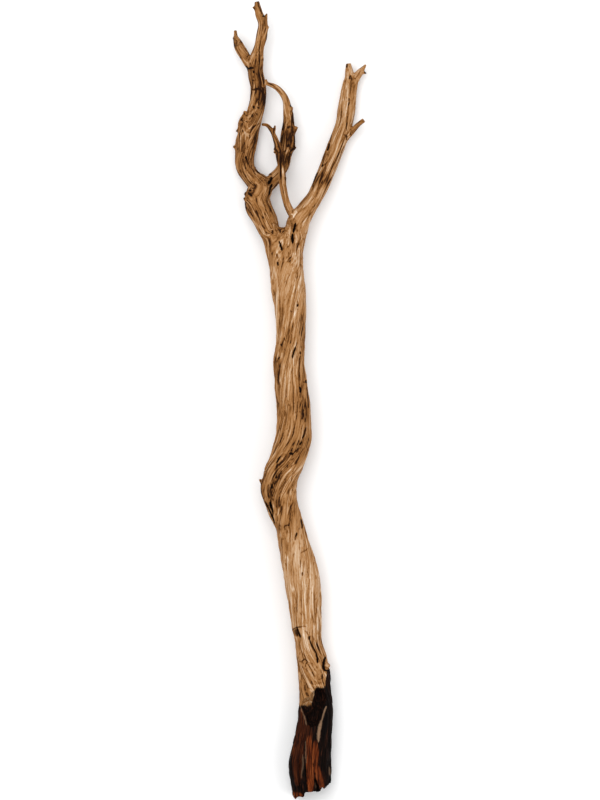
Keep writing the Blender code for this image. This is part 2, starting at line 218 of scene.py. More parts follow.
# Short broken ends that stand off the limbs: the root, its radius, the tip and its radius.
SNAGS = {
    "arch_thorn": ((-0.0130, 0.3740, 0.0260), 0.0050, (-0.0052, 0.3792, 0.0270), 0.0012),
    "arch_barb": ((-0.0125, 0.4310, 0.0275), 0.0030, (-0.0098, 0.4393, 0.0280), 0.0011),
    "arch_corner": ((-0.0135, 0.4220, 0.0270), 0.0046, (-0.0092, 0.4298, 0.0275), 0.0014),
    "arch_tip_prong": ((-0.0475, 0.4750, 0.0335), 0.0024, (-0.0495, 0.4808, 0.0338), 0.0011),
    "left_bump": ((-0.0900, 0.3790, 0.0170), 0.0062, (-0.0982, 0.3812, 0.0180), 0.0020),
    "left_flap_barb": ((-0.0840, 0.4210, 0.0290), 0.0034, (-0.0824, 0.4336, 0.0290), 0.0010),
    "left_flap_nib": ((-0.0895, 0.4070, 0.0270), 0.0035, (-0.0942, 0.4035, 0.0270), 0.0011),
    "left_neck_bump": ((-0.0585, 0.5105, 0.0310), 0.0050, (-0.0537, 0.5125, 0.0310), 0.0022),
    "left_tip_knob": ((-0.0640, 0.5845, 0.0440), 0.0034, (-0.0690, 0.5885, 0.0440), 0.0013),
    "left_spur": ((-0.0525, 0.5480, 0.0400), 0.0040, (-0.0463, 0.5585, 0.0405), 0.0012),
    "left_prong_nib": ((-0.0935, 0.5390, 0.0275), 0.0045, (-0.0990, 0.5440, 0.0275), 0.0014),
    "left_shoulder_barb": ((-0.0735, 0.3075, 0.0300), 0.0056, (-0.0815, 0.3100, 0.0300), 0.0024),
    "twig_burl": ((-0.0330, 0.3725, 0.0480), 0.0044, (-0.0380, 0.3708, 0.0480), 0.0015),
    "twig_burl_high": ((-0.0330, 0.3750, 0.0480), 0.0036, (-0.0380, 0.3760, 0.0480), 0.0012),
    "twig_bud": ((-0.0235, 0.3260, 0.0480), 0.0045, (-0.0203, 0.3330, 0.0480), 0.0014),
    "right_barb": ((0.0935, 0.4935, 0.0170), 0.0034, (0.1002, 0.4918, 0.0170), 0.0010),
    "base_toe": ((0.0000, -0.5800, 0.0160), 0.0090, (-0.0055, -0.5960, 0.0150), 0.0062),
    "base_head": ((-0.0480, -0.1330, 0.0410), 0.0090, (-0.0595, -0.1180, 0.0400), 0.0016),
    "base_lump": ((0.0040, -0.3880, 0.0300), 0.0070, (-0.0028, -0.3900, 0.0300), 0.0034),
    "base_swelling": ((0.0060, -0.4150, 0.0300), 0.0080, (0.0000, -0.4170, 0.0300), 0.0040),
}
SNAG_REACH = 1.16  # how far a limb's snag is drawn past its tip, which the skin then wears back
THINNEST_TIP = 0.0016  # anything thinner falls between the skin's cells

# The limbs after the trunk: the stations, and which limb each one grows from.
LIMBS = {
    "left_limb": (LEFT_LIMB, "trunk"),
    "right_limb": (RIGHT_LIMB, "trunk"),
    "left_prong": (LEFT_PRONG, "left_limb"),
    "left_tip_snag": (LEFT_TIP_SNAG, "left_limb"),
    "left_flap": (LEFT_FLAP, "left_limb"),
    "shoulder_stub": (SHOULDER_STUB, "left_limb"),
    "right_tip_prong": (RIGHT_TIP_PRONG, "right_limb"),
    "right_stub": (RIGHT_STUB, "right_limb"),
    "arched_branch": (ARCHED_BRANCH, "left_limb"),
    "arched_snag_low": (ARCHED_SNAG_LOW, "arched_branch"),
    "arched_snag_high": (ARCHED_SNAG_HIGH, "arched_branch"),
    "thin_twig": (THIN_TWIG, "right_limb"),
    "twig_prong": (TWIG_PRONG, "thin_twig"),
    "loose_strand": (LOOSE_STRAND, "trunk"),
    "trunk_stub": (TRUNK_STUB, "trunk"),
}
# The first word of a snag's name says which limb it grows from.
SNAG_PARENTS = {
    "arch": "arched_branch",
    "left": "left_limb",
    "twig": "thin_twig",
    "right": "right_limb",
    "base": "trunk",
}
# How fast the grain turns round a limb: y along the branch, then radians for each metre there.
TWISTS = {
    "trunk": [
        (-0.60, 0.0), (-0.46, 0.0), (-0.43, -16.0), (-0.39, -16.0), (-0.36, 0.0), (-0.28, 5.0), (-0.21, 9.0),
        (-0.18, 20.0), (-0.11, 18.0), (-0.06, 6.0), (0.00, 3.0), (0.06, 7.0), (0.12, 8.0), (0.26, 10.0),
    ],
    "left_limb": [(0.24, 0.0), (0.32, 4.0), (0.36, 14.0), (0.43, 22.0), (0.47, 4.0), (0.60, 2.0)],
    "right_limb": [(0.24, 8.0), (0.30, 2.0), (0.52, 2.0)],
    "arched_branch": [(0.32, 4.0), (0.48, 4.0)],
    "thin_twig": [(0.27, 3.0), (0.42, 3.0)],
}

SKIN_VOXEL = 0.0009  # size of the cells that fuse the limbs into one skin
MOST_TRIANGLES = 196000
BLANK_SIDES = 40
ROWS_PER_STATION = 5
THINNEST_HALF = 0.001  # the least half width or half depth of a section
MILLIMETRE = 0.001

TRUNK_OVERLAP = 0.0012  # how far the trunk's grain runs on into a limb
GRAIN_BLEND = 0.0028  # over how far one limb's grain turns into another's
COLOUR_BLEND = 0.003  # over how far one limb's paleness turns into another's
# The right limb's grain crosses the top of the trunk aslant: how steeply, and between which y.
SLANT = 0.20
SLANT_START = 0.10
SLANT_END = 0.24

SLOT_COUNT = 220
# How far each kind of relief stands up or goes in, in metres. The first seven are for a limb of
# FULL_RELIEF_RADIUS and less on a thinner one, and the last two are for the rotten base.
FULL_RELIEF_RADIUS = 0.020
FLUTE_HEIGHT = 0.0012
LUMP_HEIGHT = 0.0010
KNOB_HEIGHT = 0.0004
RIDGE_HEIGHT = 0.0013
FINE_RIDGE_HEIGHT = 0.0006
CRACK_DEPTH = 0.0012
SLOT_DEPTH = 0.0016
SPLINTER_HEIGHT = 0.0026
PLATE_HEIGHT = 0.0014


# ---------------------------------------------------------------- noise and small sums

random = np.random.default_rng(7)
SHUFFLED = random.permutation(256)
SLOPES = random.normal(size=(256, 3))
SLOPES /= np.linalg.norm(SLOPES, axis=1)[:, None]


def noise(points, seed=0):
    """Smooth noise, about -1 to 1, whose hills are about one unit wide."""
    points = points + seed * 19.37
    cell = np.floor(points).astype(np.int64)
    inside = points - cell
    ease = inside**3 * (inside * (inside * 6 - 15) + 10)
    total = np.zeros(len(points))
    for corner in np.ndindex(2, 2, 2):
        spot = cell + corner
        pick = SHUFFLED[spot[:, 0] & 255]
        pick = SHUFFLED[(pick + spot[:, 1]) & 255]
        pick = SHUFFLED[(pick + spot[:, 2]) & 255]
        weight = np.where(corner, ease, 1 - ease).prod(axis=1)
        total += weight * (SLOPES[pick] * (inside - corner)).sum(axis=1)
    return 1.7 * total


def ramp(value, low, high):
    """0 below low, 1 above high, and a smooth rise between them."""
    t = np.clip((value - low) / (high - low), 0, 1)
    return t * t * (3 - 2 * t)


def smoothed(stations, steps):
    """The stations with more between them, on a Catmull-Rom curve through all of them."""
    rows = np.array(stations)
    last = len(rows) - 1
    made = []
    for i in range(last):
        a, b, c, d = (rows[min(max(i + k, 0), last)] for k in (-1, 0, 1, 2))
        for t in np.arange(steps) / steps:
            second = (2 * a - 5 * b + 4 * c - d) * t**2
            third = (3 * b - a - 3 * c + d) * t**3
            made.append(0.5 * (2 * b + (c - a) * t + second + third))
    return np.array(made + [rows[-1]])


# ---------------------------------------------------------------- limbs


class Limb:
    """A limb's centre line, its sections, and the straight log that its grain is measured in."""

    def __init__(self, name, stations, parent=None):
        self.name = name
        rows = smoothed(stations, ROWS_PER_STATION)
        self.centre = rows[:, :3] - MIDDLE
        self.half = np.maximum(rows[:, 3:], THINNEST_HALF)
        ahead = np.gradient(self.centre, axis=0)
        self.heading = ahead / np.linalg.norm(ahead, axis=1)[:, None]
        side = np.cross(self.heading, [0, 0, 1])
        self.across = side / np.linalg.norm(side, axis=1)[:, None]
        self.upward = np.cross(self.across, self.heading)
        steps = np.linalg.norm(np.diff(self.centre, axis=0), axis=1)
        self.along = np.concatenate([[0], np.cumsum(steps)])
        rates = np.interp(self.centre[:, 1], *zip(*TWISTS.get(name, [(0, 0.0), (1, 0.0)])))
        self.turn = np.cumsum(np.gradient(self.along) * rates)
        self.log_start = np.zeros(3)
        if parent is not None:
            root = self.centre[:1]
            sideways, up, at, _ = parent.measure(root)
            self.log_start = parent.in_log(sideways, up, at)[0]
            self.turn = self.turn + np.interp(at, parent.along, parent.turn)

    def read(self, at, values):
        """The rows of values at these distances along the limb."""
        return np.stack([np.interp(at, self.along, column) for column in values.T], axis=1)

    def measure_near(self, places):
        """The same as measure, with the places that are clearly off the limb left unmeasured."""
        reach = self.half.max() + 0.012
        low = self.centre.min(axis=0) - reach
        high = self.centre.max(axis=0) + reach
        near = ((places > low) & (places < high)).all(axis=1)
        found = [np.zeros(len(places)) for _ in range(3)] + [np.full(len(places), 1.0)]
        for column, measured in zip(found, self.measure(places[near])):
            column[near] = measured
        return found

    def measure(self, points):
        """Each point's place across, up and along the limb, and how far it is outside its surface."""
        at = self.along[nearest(points, self.centre)]
        for _ in range(3):
            gap = points - self.read(at, self.centre)
            at = np.clip(at + (gap * self.read(at, self.heading)).sum(axis=1), 0, self.along[-1])
        gap = points - self.read(at, self.centre)
        sideways = (gap * self.read(at, self.across)).sum(axis=1)
        up = (gap * self.read(at, self.upward)).sum(axis=1)
        beyond = np.abs((gap * self.read(at, self.heading)).sum(axis=1))
        half = self.read(at, self.half)
        size = np.hypot(sideways / half[:, 0], up / half[:, 1])
        outside = np.maximum((size - 1) * half.min(axis=1), beyond)
        return sideways, up, at, outside

    def in_log(self, sideways, up, at):
        """The same places in the straight log."""
        turn = np.interp(at, self.along, self.turn)
        x = sideways * np.cos(turn) - up * np.sin(turn)
        y = sideways * np.sin(turn) + up * np.cos(turn)
        return np.stack([x, y, at], axis=1) + self.log_start


def nearest(points, rows):
    """For each point, the index of the nearest row."""
    found = np.empty(len(points), np.int64)
    square = (rows**2).sum(axis=1)
    for start in range(0, len(points), 20000):
        part = points[start : start + 20000]
        found[start : start + 20000] = (square - 2 * part @ rows.T).argmin(axis=1)
    return found


def snag_stations(root, root_radius, tip, tip_radius, reach):
    """The stations of a snag, drawn this many times as long as from root to tip."""
    root, tip = np.array(root), np.array(tip)
    tip = root + reach * (tip - root)
    tip_radius = max(tip_radius, THINNEST_TIP)
    rows = []
    for t in (0.0, 0.35, 0.7, 1.0):
        radius = root_radius + (tip_radius - root_radius) * t**0.7
        rows.append((*(root + (tip - root) * t), radius, radius))
    return rows


def blank_limb(limb):
    """A round blank drawn out along the limb: a disc extruded once for each section, then shaped."""
    bpy.ops.object.select_all(action="DESELECT")
    bpy.ops.mesh.primitive_circle_add(vertices=BLANK_SIDES, radius=1.0, fill_type="NGON")
    obj = bpy.context.object
    obj.name = limb.name
    bpy.ops.object.mode_set(mode="EDIT")
    bpy.ops.mesh.select_all(action="SELECT")
    for _ in range(len(limb.centre) - 1):
        bpy.ops.mesh.extrude_region_move(TRANSFORM_OT_translate={"value": (0, 0, 1)})
    bpy.ops.mesh.select_all(action="SELECT")
    bpy.ops.mesh.normals_make_consistent(inside=False)
    bpy.ops.object.mode_set(mode="OBJECT")
    places = points_of(obj.data)
    row = np.rint(places[:, 2]).astype(int)
    section = limb.across[row] * (places[:, 0] * limb.half[row, 0])[:, None]
    section = section + limb.upward[row] * (places[:, 1] * limb.half[row, 1])[:, None]
    put_points(obj.data, limb.centre[row] + section)
    return obj


def points_of(mesh):
    places = np.empty(len(mesh.vertices) * 3)
    mesh.vertices.foreach_get("co", places)
    return places.reshape(-1, 3)


def put_points(mesh, places):
    mesh.vertices.foreach_set("co", places.astype(np.float32).ravel())
    mesh.update()


def normals_of(mesh):
    normals = np.empty(len(mesh.vertices) * 3)
    mesh.vertices.foreach_get("normal", normals)
    return normals.reshape(-1, 3)


def apply_modifier(obj, kind, **settings):
    bpy.context.view_layer.objects.active = obj
    change = obj.modifiers.new(kind.lower(), kind)
    for key, value in settings.items():
        setattr(change, key, value)
    bpy.ops.object.modifier_apply(modifier=change.name)


# ---------------------------------------------------------------- the base's hollows and break

# Hollows cut in the trunk, in metres: the centre, the three half sizes, and the turn about Z in degrees.
# The first three make the rot hollow in the base, and the next two open the old wound in the bend.
# The last lies past the trunk's end and cuts nothing. It stays, because without it the skin is thinned
# a little differently.
HOLLOWS = [
    ((0.0285, -0.4460, 0.0500), (0.0120, 0.0165, 0.0180), 0),
    ((0.0145, -0.4585, 0.0490), (0.0125, 0.0140, 0.0170), 0),
    ((0.0222, -0.4700, 0.0500), (0.0118, 0.0195, 0.0180), -10),
    ((-0.0440, -0.1670, 0.0500), (0.0022, 0.0150, 0.0120), 25),
    ((-0.0415, -0.1610, 0.0520), (0.0020, 0.0110, 0.0120), 12),
    ((-0.0425, 0.3200, 0.0400), (0.0028, 0.0120, 0.0110), 4),
]
HOLLOW_ROUGHNESS = 0.0009
# The broken end seen from above: x, then the y where the wood ends.
BREAK_LINE = [
    (-0.0300, -0.5850), (-0.0130, -0.5850), (-0.0105, -0.5895), (-0.0054, -0.5975), (-0.0005, -0.5930),
    (0.0068, -0.5925), (0.0075, -0.5880), (0.0120, -0.5848), (0.0305, -0.5852), (0.0338, -0.5790),
    (0.0393, -0.5810), (0.0436, -0.5754), (0.0471, -0.5730), (0.0600, -0.5700),
]
BREAK_MIDDLE = (0.0175, 0.0250)  # x and z of the middle of the block that cuts the end off
BREAK_SIZE = (0.09, 0.07)  # its width and its height
BREAK_BACK = -0.65  # y of its far side, clear of the wood
BREAK_SPLINTERS = 0.0016
BREAK_LEAN = 0.10  # how far the break leans back for each metre up from BREAK_HEIGHT
BREAK_HEIGHT = 0.03


def cut_hollow(wood, centre, half_sizes, turn):
    """Cuts an egg-shaped hollow out of the wood."""
    bpy.ops.object.select_all(action="DESELECT")
    bpy.ops.mesh.primitive_uv_sphere_add(segments=40, ring_count=24, radius=1.0)
    cutter = bpy.context.object
    places = points_of(cutter.data) * half_sizes
    cosine, sine = math.cos(math.radians(turn)), math.sin(math.radians(turn))
    spin = np.array([[cosine, -sine, 0], [sine, cosine, 0], [0, 0, 1]])
    places = places @ spin.T
    lumps = HOLLOW_ROUGHNESS * noise(places / 0.007)[:, None] * places
    places += lumps / np.linalg.norm(places, axis=1)[:, None]
    put_points(cutter.data, places + centre - MIDDLE)
    cut(wood, cutter)


def cut(wood, cutter):
    """Takes the cutter's shape out of the wood."""
    apply_modifier(wood, "BOOLEAN", operation="DIFFERENCE", object=cutter)
    bpy.data.objects.remove(cutter)


def cut_break(wood):
    """Breaks the end off across the fibres, so that splinters of many lengths are left."""
    bpy.ops.object.select_all(action="DESELECT")
    bpy.ops.mesh.primitive_grid_add(x_subdivisions=110, y_subdivisions=80, size=1.0)
    cutter = bpy.context.object
    bpy.ops.object.mode_set(mode="EDIT")
    bpy.ops.mesh.select_all(action="SELECT")
    bpy.ops.mesh.extrude_region_move(TRANSFORM_OT_translate={"value": (0, 0, 1)})
    bpy.ops.mesh.select_all(action="SELECT")
    bpy.ops.mesh.normals_make_consistent(inside=False)
    bpy.ops.object.mode_set(mode="OBJECT")
    flat = points_of(cutter.data)
    x = BREAK_MIDDLE[0] + flat[:, 0] * BREAK_SIZE[0]
    z = BREAK_MIDDLE[1] + flat[:, 1] * BREAK_SIZE[1]
    column = np.stack([x, z, np.zeros(len(x))], axis=1)
    splinter = noise(column / [0.004, 0.007, 1], 3) + 0.5 * noise(column / [0.0018, 0.003, 1], 4)
    end = np.interp(x, *zip(*BREAK_LINE)) + BREAK_SPLINTERS * splinter - BREAK_LEAN * (z - BREAK_HEIGHT)
    y = np.where(flat[:, 2] > 0.5, end, BREAK_BACK)
    put_points(cutter.data, np.stack([x, y, z], axis=1) - MIDDLE)
    bpy.ops.object.mode_set(mode="EDIT")
    bpy.ops.mesh.select_all(action="SELECT")
    bpy.ops.mesh.normals_make_consistent(inside=False)
    bpy.ops.object.mode_set(mode="OBJECT")
    cut(wood, cutter)


# ---------------------------------------------------------------- marks on the upper side

# Strokes carved into the upper side, seen from above, in millimetres: half width, how deep it goes
# (negative stands up), how dark it is (negative is paler), then the points (x, y) it runs through. The
# darkest are mixed towards black: in knots and grain that is their own colour, in deep slots, holes and
# cracks it is painted shade.
STROKES = [
    # slots, holes and the small knot round the fork
    (1.9, 7.0, 1.0, (-29.5, 238), (-27.5, 231), (-25.5, 224)),
    (2.2, 6.0, 1.0, (-5.5, 265), (-7, 258), (-9, 251)),
    (2.4, 6.5, 1.0, (-10, 249), (-10, 242), (-9.3, 235)),
    (1.7, 3.5, 0.95, (-32.3, 206.5), (-31.2, 201.5)),
    (1.6, 2.0, 0.62, (-33.2, 219.5), (-31.6, 211.5)),
    (1.5, 2.5, 0.75, (-40, 254.5), (-39.5, 248.5)),
    (1.2, 1.5, 0.65, (-49.3, 252.5), (-48, 246.5)),
    (1.3, 1.2, 0.65, (-2, 255), (-2, 252.5)),
    (1.3, 1.5, 0.85, (-28.5, 256), (-28, 252), (-26, 249)),
    (1.2, 1.2, 0.60, (-24.5, 251.5), (-22.5, 253.5), (-22, 257)),
    (1.6, 1.0, 0.35, (-25, 222), (-24, 214), (-23, 206)),
    (1.4, 1.2, 0.50, (-9, 285), (-10, 279)),
    (1.3, 1.0, 0.50, (-6, 271), (-6.5, 266)),
    (1.5, -0.9, -0.60, (-4, 287), (-5.5, 280), (-8, 275), (-12, 272), (-15, 270)),
    # grain of the fork
    (1.1, 0.8, 0.50, (4, 262), (2.5, 250), (1, 240), (-1, 232), (-3, 226), (-5, 221)),
    (1.1, 0.8, 0.50, (-8, 222), (-11, 217), (-14, 212), (-16, 209)),
    (1.1, 0.6, 0.40, (-3, 213), (-7, 208), (-10, 204), (-12, 201)),
    (1.1, 0.6, 0.40, (-7, 203), (-9.5, 199)),
    (1.1, 0.6, 0.40, (-3, 203), (-5, 199)),
    (1.1, 1.0, 0.62, (-10.5, 195.5), (-13, 188.5), (-15, 185)),
    (1.1, 0.6, 0.38, (-15, 185), (-18, 179.5), (-19.5, 170)),
    (1.1, 0.6, 0.40, (1, 188), (0, 180), (-2.5, 172), (-4.5, 164), (-5.5, 155)),
    (1.1, 0.6, 0.40, (-42, 238), (-42.5, 228), (-42, 222)),
    (1.1, 0.6, 0.38, (-17, 240), (-17.5, 232), (-18, 222)),
    (1.8, -0.6, -0.40, (-8, 221), (-14, 215), (-20, 208)),
    (1.8, -0.6, -0.40, (0, 218), (-5, 212), (-11, 204)),
    (1.6, -0.5, -0.35, (-35, 232), (-33, 223), (-29, 214), (-27, 208)),
    (1.6, -0.5, -0.35, (-4, 182), (-5, 174), (-7, 166)),
    # grain, pits and slots of the upper trunk
    (1.5, 1.0, 0.58, (-42, 192), (-41.5, 186)),
    (1.4, 0.8, 0.50, (-39.5, 181), (-39, 172)),
    (1.3, 1.2, 0.62, (-38.5, 165), (-37.5, 160), (-38.5, 156)),
    (2.4, -0.7, -0.42, (-38, 200), (-35, 185), (-33, 170), (-32.5, 155), (-33, 135), (-33, 105)),
    (1.1, 0.7, 0.42, (-31, 186), (-31.5, 178), (-31, 172), (-29.5, 160)),
    (1.1, 0.8, 0.45, (-30, 157), (-29, 146), (-28.5, 132), (-29, 115), (-29.5, 100), (-32, 89), (-33.5, 82)),
    (1.1, 0.7, 0.45, (-13, 156), (-16, 149), (-18, 142)),
    (1.1, 0.6, 0.38, (-17, 131), (-17.5, 124), (-17, 118)),
    (1.2, 0.8, 0.48, (-13.2, 134), (-10.3, 131.8)),
    (1.2, 0.8, 0.45, (-22.5, 110), (-22, 104), (-22.5, 97)),
    (1.3, 1.2, 0.68, (-22.6, 93), (-21, 89)),
    (1.1, 0.6, 0.36, (-16, 107), (-16.5, 99)),
    (1.9, -0.9, -0.62, (-3.5, 150), (-5, 142), (-6.2, 132), (-7, 120), (-7.5, 108), (-9, 92)),
    (1.1, 0.8, 0.44, (-6.5, 150), (-8, 140), (-8.5, 125), (-9.5, 108), (-11, 98)),
    (1.2, 1.0, 0.62, (-11, 99), (-12, 90), (-13.5, 84)),
    (1.4, 1.5, 0.55, (-2, 148), (-1.8, 143)),
    (1.5, 3.0, 0.98, (-1.8, 143.5), (-1.8, 140)),
    (1.2, 1.0, 0.50, (-2, 137), (-2, 134.5)),
    (2.4, 0.5, 0.34, (4, 128), (4.5, 115), (4.5, 95)),
    (1.1, 0.8, 0.55, (-2, 87), (-3, 84), (-5, 80)),
    (1.9, 7.0, 1.0, (-5, 80), (-7, 75), (-8.5, 70), (-10, 62.5)),
    (1.5, 2.0, 0.88, (2.3, 72.5), (2.6, 69.5)),
    (1.3, 1.2, 0.62, (-27.3, 84), (-26.6, 81.5)),
    (1.3, 1.4, 0.64, (-22, 77), (-23, 71), (-24.5, 65)),
    (1.1, 0.9, 0.50, (-24.5, 65), (-26, 60), (-28, 54), (-29, 50)),
    (1.3, -0.9, -0.70, (-31, 73), (-31.5, 67), (-32, 63)),
    (1.3, -0.9, -0.70, (-26, 71.5), (-27, 66), (-28.5, 61)),
    (1.4, 1.6, 0.72, (-30, 65), (-31.5, 61)),
    (1.3, 1.0, 0.60, (-32.5, 60), (-33, 56.5)),
    (1.5, 1.6, 0.75, (-29, 52.5), (-29, 49)),
    (1.6, 1.0, 0.52, (-29, 49), (-30, 43), (-31.5, 36), (-32.5, 28), (-32, 23)),
    # grain of the middle of the trunk
    (1.3, 1.2, 0.62, (3, 67), (2.8, 60), (1.5, 52), (0.5, 45), (1, 38), (1.8, 29)),
    (
        1.1, 0.7, 0.40, (-14, 79), (-15, 69), (-17, 60), (-19, 53),
        (-20, 47), (-22, 40), (-23.5, 30), (-25, 19),
    ),
    (1.1, 0.8, 0.46, (-3, 80), (-3, 70), (-5, 60), (-7, 53), (-10, 46), (-13, 38)),
    (1.1, 0.6, 0.40, (-10.5, 61), (-11.5, 55), (-14, 48), (-15.5, 45)),
    (1.6, -0.6, -0.45, (-21.5, 56), (-24, 45), (-26, 33), (-27, 20), (-27.5, 5), (-28, -6)),
    (1.5, -0.6, -0.50, (-20, 36), (-21.5, 24), (-23, 10), (-23.3, 0), (-25, -9)),
    (1.1, 0.8, 0.48, (-16, 36), (-17, 28), (-19, 18), (-19.5, 8), (-20.5, 0), (-21.5, -13)),
    (1.1, 0.7, 0.42, (-26, 18), (-26, 8), (-26, -4), (-27, -13)),
    (1.4, 1.6, 0.68, (-22.5, -14.5), (-22, -18), (-22.5, -24.5)),
    (1.1, 0.5, 0.34, (-16.5, -13), (-17.2, -22), (-17.5, -39)),
    (1.1, 0.8, 0.48, (-17.2, 0), (-14.8, -3)),
    (1.1, 0.8, 0.50, (-15.8, -5.5), (-14.3, -8.5)),
    (
        1.2, 1.0, 0.56, (-8, 0), (-8, -15), (-8, -30), (-7.5, -42),
        (-8.5, -49), (-12, -57), (-18, -67), (-24, -75),
    ),
    (1.2, 1.4, 0.78, (-7.5, -44), (-8.8, -50), (-10.3, -54)),
    (1.1, 1.0, 0.62, (-14, -61), (-20, -69)),
    (1.1, 0.9, 0.52, (-2, -1), (-2.7, -12), (-3, -20), (-3.6, -29)),
    (2.0, 3.5, 1.0, (1, 20), (2, 16), (2.3, 11.5)),
    (1.3, 1.2, 0.58, (1.6, 10.5), (1.2, 3.5)),
    (1.2, 1.0, 0.52, (3.6, 0), (2.6, -5), (1.5, -10)),
    (1.4, 3.0, 0.95, (9.6, 29.5), (10.3, 25.5)),
    (1.2, 1.0, 0.52, (6.8, 28), (8.8, 26)),
    (1.3, 0.8, 0.48, (11, 19), (12, 8), (13.2, -2), (14.2, -12)),
    (1.2, 0.9, 0.52, (9, 3), (9, -5), (8.8, -13)),
    (1.5, 2.0, 0.82, (7, -13), (7, -17)),
    (1.6, 1.2, 0.60, (7, -19), (6.6, -24), (5, -28.5)),
    (1.6, 1.0, 0.52, (10.3, -26), (9.5, -33)),
    (1.3, 1.0, 0.52, (-23.5, -48), (-25, -54), (-29, -63)),
    (2.0, -0.7, -0.52, (-29.5, -44), (-32, -56), (-36, -68), (-40.5, -77), (-43.5, -85), (-45.5, -93)),
    (1.4, 0.6, 0.42, (-32, -2), (-31.8, -14)),
    # the old wound, sweeping down and to the left through the bend
    (1.4, 2.0, 0.72, (11, -40), (9.5, -45), (8, -50), (6.5, -54), (5, -57.5)),
    (1.4, 2.0, 0.98, (6.8, -52.5), (5.3, -56.5)),
    (1.0, 1.5, 0.75, (0, -59), (-1.5, -63), (-3.6, -68)),
    (1.6, 3.0, 1.0, (3.8, -62.5), (2.5, -65), (1.2, -67)),
    (1.1, 1.6, 0.72, (-0.5, -71), (-4, -75), (-8.3, -78.8)),
    (1.9, 3.0, 0.98, (-9, -80.3), (-14, -79.3)),
    (1.6, 1.0, 0.52, (-10, -71.5), (-12, -76)),
    (2.2, 1.2, 0.40, (-20, -80.5), (-27, -84)),
    (1.6, 4.0, 1.0, (-27.5, -84), (-30.5, -88), (-33.3, -94)),
    (2.0, 2.2, 0.55, (-32.5, -94), (-33.5, -103), (-35, -110), (-35, -116)),
    (1.3, 2.0, 0.90, (-34.5, -113.5), (-34.8, -116.5)),
    (1.7, 1.6, 0.52, (-36.5, -110), (-38.5, -119), (-39.5, -126)),
    (1.7, 3.0, 0.98, (-40.7, -125), (-41.5, -132)),
    (1.3, 1.5, 0.78, (-38.6, -122), (-38, -126)),
    (1.6, 1.0, 0.42, (-30, -109), (-30, -115), (-29, -119)),
    (1.6, 1.0, 0.46, (-27, -92), (-29, -99)),
    (1.4, 0.8, 0.42, (-16.5, -90.5), (-15.5, -93.5)),
    (1.6, 1.0, 0.48, (-17.5, -96), (-17, -101)),
    (1.3, 1.0, 0.46, (-27.3, -105), (-27, -111)),
    (1.4, 1.2, 0.58, (-8, -86.5), (-10, -88.5), (-12.5, -89.5)),
    (1.3, -1.0, -0.95, (-34.5, -116.5), (-34.8, -120)),
    (1.3, -0.5, -0.55, (-24.5, -86.5), (-24.5, -90)),
    (1.3, -0.5, -0.60, (-24.2, -101.5), (-24.2, -104.5)),
    (1.5, -0.6, -0.40, (-51.5, -120), (-50.5, -130), (-49.5, -143)),
    (1.5, 1.6, 0.62, (-46, -126), (-47, -134), (-46.5, -140), (-45, -147)),
    (1.6, 1.6, 0.55, (-43, -130), (-43, -140), (-42.5, -149)),
    (1.7, 6.0, 1.0, (-43.3, -149), (-42, -155), (-40.5, -160), (-39.5, -166), (-38.3, -172)),
    (1.6, 6.0, 0.95, (-51, -152), (-47, -160), (-44, -166), (-41, -172), (-38, -179), (-35.8, -186)),
    (1.5, 0.8, 0.50, (-58.3, -119), (-58.3, -128), (-57, -137), (-55.5, -145), (-52, -153)),
    (1.4, 1.5, 0.72, (-39.6, -141), (-39.4, -144.5)),
    (1.4, 1.5, 0.72, (-39.6, -147), (-38.8, -150.5)),
    (1.3, 1.0, 0.50, (-37, -132), (-37.4, -137), (-39, -140.5)),
    (1.4, -1.0, -0.85, (-29.3, -160), (-31, -166), (-32.6, -172.5)),
    (1.2, 1.2, 0.62, (-25.2, -157), (-27, -164), (-29.6, -170.5)),
    (1.2, 1.6, 0.95, (-48, -165.5), (-47.3, -167.5)),
    # grain round the outside of the bend
    (1.1, 0.8, 0.48, (3, -70), (-1, -75), (-4, -79)),
    (1.1, 0.9, 0.52, (8.5, -71), (4, -77), (0.5, -83), (-2, -90), (-5, -94), (-9, -98), (-12, -103)),
    (1.1, 0.9, 0.52, (-5, -98), (-8, -104), (-9.5, -111), (-11, -116), (-12, -121)),
    (1.1, 0.6, 0.42, (-14, -107), (-18, -113), (-20, -120), (-23, -126), (-26.5, -130)),
    (1.2, 0.8, 0.50, (-6, -134), (-9, -140), (-12, -146), (-14, -152), (-16, -159)),
    (1.1, 0.5, 0.36, (-26, -136), (-31, -141)),
    (1.4, -0.6, -0.45, (-4, -99), (-9, -108), (-12, -115), (-14.5, -124)),
    (1.4, -0.6, -0.40, (-14, -129), (-18, -134), (-21.5, -140)),
    (1.3, 0.9, 0.52, (15, -56), (13, -64), (11, -72)),
    (1.1, 0.6, 0.36, (-33, -64), (-36, -72), (-38.5, -81)),
    # knots, slots and grain below the bend
    (1.9, 4.0, 0.92, (2.8, -177.5), (4, -184), (4.3, -192)),
    (1.2, 0.8, 0.48, (3.6, -200), (3.7, -208)),
    (1.7, 4.0, 0.95, (-2.8, -197.5), (-4.2, -201.5), (-5, -204)),
    (1.6, 2.5, 0.78, (-4.5, -202), (-6.3, -209.5)),
    (1.2, 0.8, 0.44, (-7, -211), (-9, -215), (-10, -220)),
    (1.2, 1.0, 0.60, (-8, -229.5), (-9.4, -233)),
    (1.1, 0.7, 0.42, (-7, -227), (-9.5, -238), (-10.5, -247)),
    (1.3, 1.4, 0.60, (-22.3, -191), (-21, -188), (-18.5, -187), (-15, -187)),
    (1.2, 1.2, 0.55, (-21.6, -190), (-21, -194)),
    (1.2, 1.2, 0.55, (-17.2, -195), (-16.4, -198.5)),
    (1.4, 1.0, 0.52, (-29.5, -186.5), (-26.5, -188.5)),
    (1.3, 0.8, 0.50, (-32.3, -174), (-32, -181)),
    (1.1, 0.7, 0.42, (-12.5, -167), (-13.5, -173), (-14, -180), (-14.6, -186)),
    (1.1, 0.6, 0.42, (-2.5, -187), (-3, -197)),
